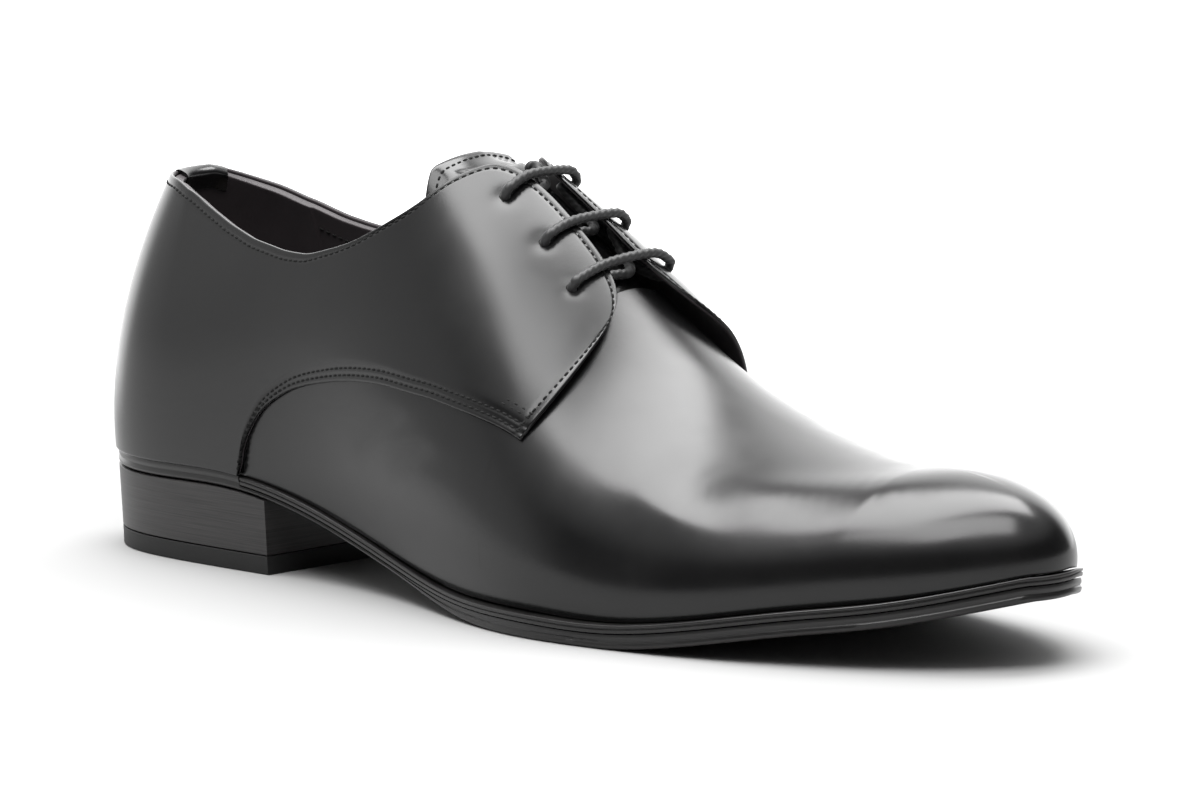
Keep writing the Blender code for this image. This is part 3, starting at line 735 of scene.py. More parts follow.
def make_mesh(name: str, points: Array, faces: list[tuple[int, ...]], finishes: Sequence[Material],
              kinds: Sequence[int] | None = None, sharp: float = CRISP_EDGE) -> Object:
    """Closed mesh object with coincident points welded and faces turned outwards.

    Args:
        name: name of the piece.
        points: points in millimetres, measured from the back of the heel.
        faces: point numbers of each face.
        finishes: materials of the piece.
        kinds: number of the material of each face, or none where there is one.
        sharp: angle in degrees above which an edge stays crisp.

    Returns:
        The object, linked to the scene.
    """
    mesh = bpy.data.meshes.new(name)
    mesh.from_pydata(((np.asarray(points, float) - (HEEL_POLE, 0.0, 0.0)) * MM).tolist(), [], faces)
    for finish in finishes:
        mesh.materials.append(finish)
    if kinds is not None:
        mesh.polygons.foreach_set("material_index", np.asarray(kinds, np.int32))
    work = bmesh.new()
    work.from_mesh(mesh)
    bmesh.ops.remove_doubles(work, verts=work.verts, dist=WELD)
    bmesh.ops.dissolve_degenerate(work, edges=work.edges, dist=SLIVER)
    bmesh.ops.recalc_face_normals(work, faces=work.faces)
    if work.calc_volume(signed=True) < 0:
        bmesh.ops.reverse_faces(work, faces=work.faces)
    work.to_mesh(mesh)
    work.free()
    mesh.shade_smooth()
    mesh.set_sharp_from_angle(angle=math.radians(sharp))
    return add_object(name, mesh)


def make_sheet(name: str, outer: Array, inner: Array, finishes: Sequence[Material]) -> Object:
    """Solid between two grids of the same size.

    Args:
        name: name of the piece.
        outer: grid of points of the outer side.
        inner: grid of points of the inner side.
        finishes: materials of the outer and of the inner side.

    Returns:
        The object.
    """
    rows, columns = outer.shape[:2]
    count = rows * columns
    face, back = grid_faces(rows, columns), grid_faces(rows, columns, count)
    border = [r * columns for r in range(rows)] + [(rows - 1) * columns + c for c in range(1, columns)]
    border += [r * columns + columns - 1 for r in range(rows - 2, -1, -1)] + list(range(columns - 2, 0, -1))
    rim = [(a, b, b + count, a + count) for a, b in zip(border, border[1:] + border[:1])]
    points = np.concatenate([outer.reshape(-1, 3), inner.reshape(-1, 3)])
    kinds = [0] * len(face) + [1] * len(back) + [0] * len(rim)
    return make_mesh(name, points, face + back + rim, finishes, kinds)


def make_tube(name: str, rings: Sequence[Array], finishes: Sequence[Material],
              sharp: float = CRISP_EDGE) -> Object:
    """Solid from closed rings that follow each other along a path.

    Args:
        name: name of the piece.
        rings: rings of points, all of one size.
        finishes: materials of the piece.
        sharp: angle in degrees above which an edge stays crisp.

    Returns:
        The object.
    """
    return make_mesh(name, np.concatenate(rings), tube_faces(len(rings), len(rings[0])), finishes, None, sharp)


def make_stack(name: str, rings: Sequence[Array], finish: Material) -> Object:
    """Solid from closed rings stacked bottom to top.

    A ring walks out along one side and back along the other, so each cap is a ladder of rungs.

    Args:
        name: name of the piece.
        rings: rings of points, all of one size.
        finish: material of the piece.

    Returns:
        The object.
    """
    size = len(rings[0])
    faces = ring_sides(len(rings), size)
    for start in (0, (len(rings) - 1) * size):
        for i in range(size // 2):
            rung = dict.fromkeys((start + i, start + i + 1, start + size - 2 - i, start + size - 1 - i))
            if len(rung) > 2:
                faces.append(tuple(rung))
    return make_mesh(name, np.concatenate(rings), faces, [finish])


def bake(piece: Object) -> Mesh:
    """Mesh of a piece with its modifiers worked in; they are then taken off it."""
    bpy.context.view_layer.update()
    ready = bpy.data.meshes.new_from_object(piece.evaluated_get(bpy.context.evaluated_depsgraph_get()))
    piece.modifiers.clear()
    return ready


def hand_over(piece: Object, slot: Slot, *nodes: str) -> None:
    """Fixes a finished piece to the shoe.

    Args:
        piece: the object.
        slot: material slot of the record; not used.
        nodes: solids of the part that it stands for.
    """
    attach(piece, "root")
    if nodes:
        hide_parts(*nodes)
    LOG.info("%s: %d faces, stands for %s", piece.name, len(piece.data.polygons), ", ".join(nodes) or "no solid")


class Crease(NamedTuple):
    """Soft trough or ridge in the leather, along a path of (station, share) places."""

    side: Side
    path: tuple[tuple[float, float], ...]
    width: float
    height: float


CREASES = (
    Crease(Side.LATERAL, ((236, 0.43), (225, 0.49), (215, 0.55), (208, 0.64)), 6.0, -0.60),
    Crease(Side.LATERAL, ((226, 0.38), (215, 0.44), (206, 0.52), (200, 0.62)), 6.5, 0.35),
    Crease(Side.LATERAL, ((219, 0.48), (229, 0.545), (240, 0.616), (254, 0.687), (273, 0.756), (296, 0.775)),
           8.0, 0.8),
    Crease(Side.LATERAL, ((111, 0.17), (125, 0.255), (134, 0.30)), 3.8, -0.35),
    Crease(Side.LATERAL, ((128, 0.20), (139, 0.254), (152, 0.29)), 4.2, -0.35),
    Crease(Side.MEDIAL, ((230, 0.46), (218, 0.53), (208, 0.64)), 6.5, -0.45),
    Crease(Side.MEDIAL, ((118, 0.14), (130, 0.20), (141, 0.24)), 4.0, -0.35),
)


@dataclass
class Upper:
    """Shell over the foot, its lining, and the tongue under the lacing."""

    last: Last
    walls: Walls
    pattern: QuarterPattern
    notch_half_width: float = 22.0
    notch_back: float = 106.0
    notch_root: float = 118.0
    notch_front: float = 164.0
    notch_power: float = 8.0
    notch_steps: tuple[float, ...] = (0.0, 0.08, 0.25, 0.5, 0.9, 1.4, 2.0, 2.8, 3.8, 5.0, 6.5, 8.5)
    rim_room: float = 2.4
    rim_rows: tuple[float, ...] = (0.0, 0.05, 0.14, 0.28, 0.5, 0.8, 1.2, 1.7, 2.3)
    rim_round: float = 0.45
    rim_swell: tuple[float, float] = (1.0, 2.0)
    rim_round_inside: float = 0.6
    crease_steps: int = 24
    crease_ends: tuple[float, float] = (0.02, 0.98)
    crease_fade: float = 0.7
    lining_room: float = 0.45
    lining_rim: float = 1.4
    lining_seam: tuple[float, float] = (33.2, 34.4)
    lining_seam_ribs: int = 6
    lining_step: float = 0.45
    rows: int = 72
    tongue_top: float = 114.3
    tongue_front: float = 178.0
    tongue_half_width: float = 24.5
    tongue_corner: float = 14.0
    tongue_dip: float = 6.0
    tongue_arc: float = 5.5
    tongue_tilt: float = 0.12
    tongue_slide: float = 4.0
    tongue_settled: float = 131.0
    tongue_cover: tuple[float, float] = (0.02, 0.14)
    tongue_edge: float = 1.2
    tongue_thin: float = 0.35
    tongue_crowd: float = 1.7
    tongue_blunt: float = 0.98
    tongue_seam: float = 2.4
    tongue_seam_bend: float = 0.6
    lining_row: float = 5.5
    lining_row_ends: tuple[float, float] = (0.8, 6.0)

    def stations(self, heel: int = 30, side: int = 190, toe: int = 44) -> Array:
        """Stations of the ribs from the back of the heel to the tip of the toe."""
        middle = np.linspace(HEEL_POLE, TOE_POLE, side + 1)
        middle = middle[np.abs(middle - self.notch_front) > self.notch_steps[-1] + 0.5]
        parts = [np.linspace(0, HEEL_POLE, heel + 1), middle, np.linspace(TOE_POLE, LAST_LENGTH, toe + 1),
                 self.notch_front - np.array(self.notch_steps), self.notch_front + np.array(self.notch_steps),
                 np.linspace(*self.lining_seam, self.lining_seam_ribs)]
        return np.unique(np.concatenate(parts).round(3))

    def tops(self, side: Side, stations: Array, room: float) -> Array:
        """Where the shell ends on its ribs.

        Args:
            side: half of the shoe.
            stations: stations of the ribs.
            room: millimetres left free under the collar's rim.

        Returns:
            The shares of their tops.
        """
        tops = self.pattern.collar_share(side, stations)
        tops = tops - room * self.last.share_step(side, stations, tops)
        for i, station in enumerate(stations):
            if self.notch_back < station < self.notch_front:
                reach = np.clip((station - self.notch_root) / (self.notch_front - self.notch_root), 0, 1)
                half_width = self.notch_half_width * math.sqrt(max(1 - reach**self.notch_power, 0.0))
                tops[i] = min(tops[i], float(self.last.share_at(side, station, half_width)))
        return np.where(stations >= self.notch_front, 1.0, tops)

    def crease_height(self, side: Side, points: Array) -> Array:
        """Height of the creases at points of the last."""
        height = np.zeros(points.shape[:-1])
        for crease in CREASES:
            if crease.side is not side:
                continue
            walk = np.linspace(0, len(crease.path) - 1, self.crease_steps)
            places = [np.interp(walk, range(len(crease.path)), column) for column in np.array(crease.path).T]
            line = self.last.rib(side, *places)
            fade = np.sin(np.pi * np.linspace(*self.crease_ends, len(line))) ** self.crease_fade
            near = np.exp(-(((points[..., None, :] - line) ** 2).sum(-1)) / crease.width**2) * fade
            height += crease.height * near.max(-1)
        return height

    def shell_half(self, side: Side, stations: Array, inner: float, outer: float, room: float, rim: float,
                   seam_step: float) -> tuple[Array, Array]:
        """Grids of the outer and the inner side of one half of a shell.

        Args:
            side: half of the shoe.
            stations: stations of the ribs.
            inner: offset of the inner side.
            outer: offset of the outer side.
            room: millimetres left free under the collar's rim.
            rim: offset that the outer side takes at the collar's rim.
            seam_step: extra thickness inside, behind the lining's side seam.

        Returns:
            Points of the outer and of the inner side, by rib and row.
        """
        tops = self.tops(side, stations, room)[:, None]
        along = np.repeat(stations[:, None], self.rows + 1, axis=1)
        step = self.last.share_step(side, stations[:, None], tops)
        close = np.array(self.rim_rows[::-1])
        even = tops * np.linspace(0, 1, self.rows + 1)
        rising = np.linspace(0, 1, self.rows + 1 - len(close), endpoint=False) * (tops - close[0] * step)
        free = (1 - ease(stations, self.notch_back, self.notch_root))[:, None]
        shares = even + free * (np.concatenate([rising, tops - close * step], axis=1) - even)
        down = (tops - shares) / step
        crease = self.crease_height(side, self.last.rib(side, along, shares))
        fall = free * rounding(down, self.rim_round)
        outside = outer + free * (1 - ease(down, *self.rim_swell)) * (rim - outer) - fall + crease
        inside = inner + self.rim_round_inside * fall + crease
        inside = inside - seam_step * (1 - ease(along, *self.lining_seam))
        grids = []
        for offset in (outside, inside):
            grid = self.last.skin(side, along, shares, offset)
            grid[:, 0, 2] = self.last.feather(grid[:, 0, 0])
            grids.append(grid)
        return grids[0], grids[1]

    def shell(self, name: str, finish: Material, **sizes: float) -> Object:
        """One hollow shell, open underneath, at the collar and at the throat.

        Args:
            name: name of the piece.
            finish: its material.
            sizes: offsets, room and steps, as for one half.

        Returns:
            The object.
        """
        stations = self.stations()
        halves = {side: self.shell_half(side, stations, **sizes) for side in Side}
        grids = [np.concatenate([halves[Side.LATERAL][i], halves[Side.MEDIAL][i][-2:0:-1]]) for i in (0, 1)]
        loop = np.concatenate([stations, stations[-2:0:-1]])
        size = self.rows + 1
        count = len(loop) * size
        faces = grid_faces(len(loop), size, 0, True) + grid_faces(len(loop), size, count, True)
        for i in range(len(loop)):
            j = (i + 1) % len(loop)
            faces.append((i * size, j * size, count + j * size, count + i * size))
            if min(loop[i], loop[j]) < self.notch_front:
                a, b = i * size + self.rows, j * size + self.rows
                faces.append((a, b, count + b, count + a))
        return make_mesh(name, np.concatenate([grid.reshape(-1, 3) for grid in grids]), faces, [finish])

    def tongue_width(self, station: float) -> float:
        """Half the tongue's width at a station, less at its rounded top."""
        corner = min(max(1 - (station - self.tongue_top) / self.tongue_corner, 0.0), 1.0)
        return self.tongue_half_width - self.tongue_corner * (1 - math.sqrt(1 - self.tongue_blunt * corner**2))

    def tongue_line(self, station: float, reach: Array, offset: Array) -> tuple[Array, Array]:
        """Points across the tongue.

        Args:
            station: station of the line.
            reach: distances from the ridge, below zero on the outer side.
            offset: distances from the last.

        Returns:
            Points and outward directions; the free top settles from the ridge's arch to its own low one and lies
            a little to the outer side.
        """
        loose = 1 - ease(station, self.tongue_top, self.tongue_settled)
        reach = reach - self.tongue_slide * loose
        points, outward = np.empty((len(reach), 3)), np.empty((len(reach), 3))
        cover = self.pattern.collar_share(Side.LATERAL, station)
        for side, mine in ((Side.LATERAL, reach < 0), (Side.MEDIAL, reach >= 0)):
            distance = np.abs(reach[mine])
            share = self.last.share_at(side, station, distance)
            free = ease(share - cover, *self.tongue_cover) * loose
            height = self.last.ridge_height(station) - self.tongue_dip
            height = height - self.tongue_arc * (distance / self.tongue_half_width) ** 2
            height = height - (self.tongue_tilt * distance if side is Side.MEDIAL else 0.0)
            points[mine] = self.last.skin(side, station, share, offset[mine])
            points[mine, 2] += free * (height - self.last.rib(side, station, share)[:, 2])
            outward[mine] = self.last.normal(side, station, share)
        return points, outward

    def tongue(self, calf: Material, lining: Material, rows: int = 90, columns: int = 80) -> Object:
        """Lined strip under the lacing with a rounded top and soft edges."""
        walls = self.walls
        middle, half = (walls.tongue_outer + walls.tongue_inner) / 2, (walls.tongue_outer - walls.tongue_inner) / 2
        across = np.sin(np.linspace(-1, 1, columns + 1) * np.pi / 2)
        grids: dict[int, list[Array]] = {1: [], -1: []}
        for along in np.linspace(0, 1, rows):
            station = self.tongue_top + (self.tongue_front - self.tongue_top) * along**self.tongue_crowd
            width = self.tongue_width(station)
            rim = np.minimum((1 - np.abs(across)) * width, station - self.tongue_top) / self.tongue_edge
            full = np.sqrt(1 - (1 - np.clip(rim, 0, 1)) ** 2)
            thick = half * (self.tongue_thin + (1 - self.tongue_thin) * full)
            for way, grid in grids.items():
                grid.append(self.tongue_line(station, across * width, middle + way * thick)[0])
        return make_sheet("tongue_leather", np.array(grids[1]), np.array(grids[-1]), [calf, lining])

    def tongue_stitches(self, steps: int = 40) -> Seam:
        """Row of stitches just inside the tongue's rounded top."""
        radius, turn = self.tongue_corner - self.tongue_seam, np.linspace(self.tongue_seam_bend, np.pi / 2, steps)
        centre, flat = self.tongue_top + self.tongue_corner, self.tongue_half_width - self.tongue_corner
        half = [(centre - radius * math.sin(t), flat + radius * math.cos(t)) for t in turn]
        offset = np.full(1, self.walls.tongue_outer)
        top = [(centre - radius, r) for r in np.linspace(-flat, flat, steps)[1:-1]]
        spots = [(s, -r) for s, r in half] + top + half[::-1]
        lines = [self.tongue_line(s, np.array([r]), offset) for s, r in spots]
        return Seam(np.concatenate([points for points, _ in lines]), np.concatenate([out for _, out in lines]))

    def lining_stitches(self, steps: int = 160) -> list[Seam]:
        """Rows of stitches in the lining below the collar's rim, one on each side."""
        seams = []
        after, before = self.lining_row_ends
        stations = np.linspace(self.lining_seam[1] + after, self.notch_back - before, steps)
        for side in Side:
            tops = self.tops(side, stations, self.lining_room)
            shares = tops - self.lining_row * self.last.share_step(side, stations, tops)
            seams.append(Seam(self.last.skin(side, stations, shares, self.walls.lining_inner),
                              -self.last.normal(side, stations, shares)))
        return seams

    def build(self, calf: Material, lining: Material) -> None:
        """Builds shell, lining and tongue."""
        walls = self.walls
        vamp = self.shell("vamp_leather", calf, inner=walls.upper_inner, outer=walls.upper_outer, room=self.rim_room,
                          rim=walls.upper_outer, seam_step=0.0)
        inside = self.shell("lining_leather", lining, inner=walls.lining_inner, outer=walls.lining_outer,
                            room=self.lining_room, rim=self.lining_rim, seam_step=self.lining_step)
        hand_over(vamp, Slot.CALF, "upper")
        hand_over(inside, Slot.LINING)
        hand_over(self.tongue(calf, lining), Slot.CALF, "tongue")


class QuarterGrid(NamedTuple):
    """Spots of a quarter by column and row, with their distances from its edges in millimetres."""

    walk: Array
    up: Array
    from_low: Array
    from_high: Array
    from_front: Array


@dataclass
class Quarter:
    """One of the two side pieces from the back seam to the lacing."""

    last: Last
    walls: Walls
    pattern: QuarterPattern
    side: Side
    eyelets: tuple[tuple[float, float], ...] = ((134.4, 0.822), (148.2, 0.818), (159.4, 0.795))
    eyelet_aim: float = 0.05
    eyelet_radius: float = 1.4
    eyelet_dimple: float = 0.35
    punch_sides: int = 20
    punch_reach: float = 4.0
    dimple_width: float = 2.6
    back_seam: float = 0.012
    columns_per_row: int = 13
    inner_rows: int = 34
    edge_rows: tuple[float, ...] = (0.0, 0.06, 0.16, 0.3, 0.5, 0.75, 1.0, 1.3, 1.55, 1.8, 2.05, 2.3, 2.55, 2.8, 3.1,
                                    3.35, 3.6, 3.85, 4.2, 4.8, 5.6)
    front_columns: tuple[float, ...] = (0.0, 0.015, 0.04, 0.08, 0.13, 0.19, 0.26, 0.33, 0.4, 0.46, 0.52, 0.58, 0.64,
                                        0.7, 0.77, 0.85, 0.95, 1.1, 1.3)
    edge_round: float = 0.55
    edge_round_inside: float = 0.5
    seam_depth: float = 0.16
    seam_width: float = 0.6
    high_seam: float = 2.3
    front_seam: float = 2.1
    wing_seams: tuple[float, float] = (1.6, 3.4)
    wing_from: float = 7.2
    wing_blend: float = 0.4
    skive_outer: float = 0.55
    skive_inner: float = 0.42
    skive_width: float = 6.0
    bar_rows: tuple[float, float] = (5.4, 6.7)
    bar_length: float = 10.0
    grid: QuarterGrid | None = field(default=None, init=False)

    def ups(self, walk: float, steps: int = 401) -> Array:
        """Rows of one column: close together at both edges, even between them."""
        ups = np.linspace(0, 1, steps)
        line = self.pattern.point(self.side, np.full_like(ups, walk), ups, self.walls.quarter_outer)
        walked = walked_along(line)
        edge = np.array(self.edge_rows)
        inside = np.linspace(edge[-1], walked[-1] - edge[-1], self.inner_rows + 2)[1:-1]
        return np.interp(np.concatenate([edge, inside, walked[-1] - edge[::-1]]), walked, ups)

    def walks(self) -> Array:
        """Columns along the quarter, close together at its front edge."""
        front = self.pattern.end - self.front_columns[-1]
        plain = np.linspace(0, front, int(front * self.columns_per_row))
        plain[0] = self.back_seam
        return np.concatenate([plain[:-1], self.pattern.end - np.array(self.front_columns[::-1])])

    def groove(self, distance: Array) -> Array:
        """Depth of the trough that a row of stitches pulls into the leather."""
        return self.seam_depth * np.exp(-((distance / self.seam_width) ** 2))

    def lay_out(self) -> QuarterGrid:
        """Spots of the quarter and how far they lie from its edges."""
        walks = self.walks()
        ups = np.array([self.ups(w) for w in walks])
        along = np.repeat(walks[:, None], ups.shape[1], axis=1)
        points = self.pattern.point(self.side, along, ups, self.walls.quarter_outer)
        up_steps = np.linalg.norm(np.diff(points, axis=1), axis=-1)
        from_low = np.concatenate([np.zeros((len(walks), 1)), np.cumsum(up_steps, axis=1)], axis=1)
        along_steps = np.linalg.norm(np.diff(points, axis=0), axis=-1)[::-1]
        from_front = np.concatenate([np.zeros((1, ups.shape[1])), np.cumsum(along_steps, axis=0)])[::-1]
        return QuarterGrid(along, ups, from_low, from_low[:, -1:] - from_low, from_front)

    def wing(self, walk: Array) -> Array:
        """1 where the low edge lies on the vamp, 0 where it runs down to the sole."""
        return ease(walk, self.wing_from, self.wing_from + self.wing_blend)

    def skive(self, walk: Array, from_low: Array) -> Array:
        """Share of the leather's thinning towards the low edge on the vamp."""
        return self.wing(walk) * (1 - ease(from_low, 0.0, self.skive_width))

    def skins(self) -> tuple[Array, Array]:
        """Points of the outer and the inner side: thinned low edge, rounded edges, seams and dimpled eyelets."""
        grid = self.grid
        nearest = np.minimum(np.minimum(grid.from_high, grid.from_front), grid.from_low)
        fall = rounding(nearest, self.edge_round)
        seams = np.maximum(self.groove(grid.from_high - self.high_seam),
                           self.groove(grid.from_front - self.front_seam))
        for place in self.wing_seams:
            seams = np.maximum(seams, self.wing(grid.walk) * self.groove(grid.from_low - place))
        points = self.pattern.point(self.side, grid.walk, grid.up, self.walls.quarter_outer)
        for centre, _, _ in self.eyelet_frames():
            seams = seams + self.eyelet_dimple * np.exp(-((points - centre) ** 2).sum(-1) / self.dimple_width**2)
        thin = self.skive(grid.walk, grid.from_low)
        outside = self.walls.quarter_outer - self.skive_outer * thin - fall - seams
        inside = self.walls.quarter_inner - self.skive_inner * thin + np.minimum(fall, self.edge_round_inside)
        on_sole = (grid.up + self.pattern.edges(self.side, grid.walk)[1]) < TINY
        skins = []
        for offset in (outside, inside):
            skin = self.pattern.point(self.side, grid.walk, grid.up, offset)
            skin[..., 2] = np.where(on_sole, self.last.feather(skin[..., 0]), skin[..., 2])
            skins.append(skin)
        return skins[0], skins[1]

    def row_along(self, distance: float, from_high: bool = False, reach: float = math.inf) -> Seam:
        """Row of stitches that keeps its distance from the high edge, or from the low edge on the vamp.

        Args:
            distance: millimetres from the edge.
            from_high: whether the high edge is meant.
            reach: greatest distance from the front edge.

        Returns:
            The seam.
        """
        grid, spots = self.grid, []
        measure, order, first = (grid.from_high, -1, 0.0) if from_high else (grid.from_low, 1, self.wing_from)
        for i, walk in enumerate(grid.walk[:, 0]):
            up = float(np.interp(distance, measure[i][::order], grid.up[i][::order]))
            front = float(np.interp(up, grid.up[i], grid.from_front[i]))
            if walk >= first and self.front_seam <= front <= reach:
                spots.append((walk, up))
        return self.seam(np.array(spots))

    def row_down_front(self) -> Seam:
        """Row of stitches down the front edge, from the facing's row to the lower corner."""
        grid, spots = self.grid, []
        for j in range(grid.up.shape[1]):
            measure = grid.from_front[::-1, j]
            walk, up, low, high = (float(np.interp(self.front_seam, measure, values[::-1, j]))
                                   for values in (grid.walk, grid.up, grid.from_low, grid.from_high))
            if low >= self.wing_seams[0] and high >= self.high_seam:
                spots.append((walk, up))
        return self.seam(np.array(spots))

    def seam(self, spots: Array) -> Seam:
        """Seam through spots of the pattern, lying in its trough on the leather."""
        walk, up = spots.T
        columns = np.searchsorted(self.grid.walk[:, 0], walk).clip(0, len(self.grid.walk) - 1)
        low = np.array([np.interp(u, self.grid.up[i], self.grid.from_low[i]) for i, u in zip(columns, up)])
        offset = self.walls.quarter_outer - self.skive_outer * self.skive(walk, low) - self.seam_depth
        return Seam(self.pattern.point(self.side, walk, up, offset), self.pattern.normal(self.side, walk, up))

    def stitches(self) -> list[Seam]:
        """Rows of the quarter: collar with facing, front, double wing row and the bars at the lower corner."""
        rows = [self.row_along(self.high_seam, from_high=True), self.row_down_front()]
        rows += [self.row_along(place) for place in self.wing_seams]
        return rows + [self.row_along(place, reach=self.bar_length) for place in self.bar_rows]

    def eyelet_frames(self) -> list[tuple[Array, Array, Array]]:
        """Centre, outward normal and direction towards the ridge of each eyelet."""
        middle = (self.walls.quarter_inner + self.walls.quarter_outer) / 2
        frames = []
        for station, share in self.eyelets:
            offset = middle + float(self.walls.lift(self.side, station, 1.0))
            centre = self.last.skin(self.side, station, share, offset)
            normal = self.last.normal(self.side, station, share)
            inward = self.last.skin(self.side, station, share + self.eyelet_aim, offset) - centre
            frames.append((centre, normal, unit(inward - normal * inward.dot(normal))))
        return frames

    def punch(self, piece: Object) -> Object:
        """Cuts the eyelets through a quarter and keeps the uncut leather's smooth shading round them."""
        points, faces = [], []
        for centre, normal, inward in self.eyelet_frames():
            third = np.cross(normal, inward)
            faces += tube_faces(2, self.punch_sides, len(points))
            for depth in (-self.punch_reach, self.punch_reach):
                for turn in np.linspace(0, 2 * np.pi, self.punch_sides, endpoint=False):
                    arm = inward * math.cos(turn) + third * math.sin(turn)
                    points.append(centre + normal * depth + arm * self.eyelet_radius)
        cutter = make_mesh(piece.name + "_punch", np.array(points), faces, [])
        uncut = add_object(piece.name + "_uncut", piece.data.copy())
        cut = piece.modifiers.new("eyelets", "BOOLEAN")
        cut.operation, cut.object, cut.solver = "DIFFERENCE", cutter, "EXACT"
        keep = piece.modifiers.new("shading", "DATA_TRANSFER")
        keep.object, keep.use_loop_data = uncut, True
        keep.data_types_loops, keep.loop_mapping = {"CUSTOM_NORMAL"}, "POLYINTERP_NEAREST"
        piece.data = bake(piece)
        for helper in (cutter, uncut):
            bpy.data.objects.remove(helper)
        return piece

    def build(self, calf: Material, lining: Material) -> None:
        """Builds the quarter with its cut edges and eyelets."""
        word = self.side.name.lower()
        self.grid = self.lay_out()
        outer, inner = self.skins()
        piece = make_sheet("quarter_leather_" + word, outer, inner, [calf, lining])
        hand_over(self.punch(piece), Slot.CALF, "quarter_" + word)


@dataclass
class HeelTab:
    """Strip of calf folded over the back of the collar."""

    last: Last
    pattern: QuarterPattern
    half_span: float = 9.0
    columns: int = 41
    section: tuple[tuple[float, float], ...] = (
        (5.0, -0.86), (4.9, -1.05), (4.4, -1.2), (3.0, -1.28), (1.2, -1.28), (0.35, -1.15), (-0.2, -0.8), (-0.5, -0.2),
        (-0.6, 0.6), (-0.58, 1.4), (-0.45, 2.1), (-0.15, 2.5), (0.2, 2.62), (0.25, 2.2), (0.1, 1.4), (0.35, 0.4),
        (1.0, -0.6), (3.0, -0.86))

    def build(self, calf: Material) -> None:
        """Builds the strip as one section, by millimetres below the rim and offset, carried round the back."""
        rows = []
        for turn in np.linspace(-self.half_span, self.half_span, self.columns):
            side, station = (Side.LATERAL, -turn) if turn < 0 else (Side.MEDIAL, turn)
            down, offset = np.array(self.section).T
            rim = self.pattern.collar_share(side, station)
            shares = rim - down * self.last.share_step(side, station, rim)
            rows.append(self.last.skin(side, np.full_like(shares, station), shares, offset))
        hand_over(make_tube("heel_tab", rows, [calf], SOFT_EDGE), Slot.CALF)


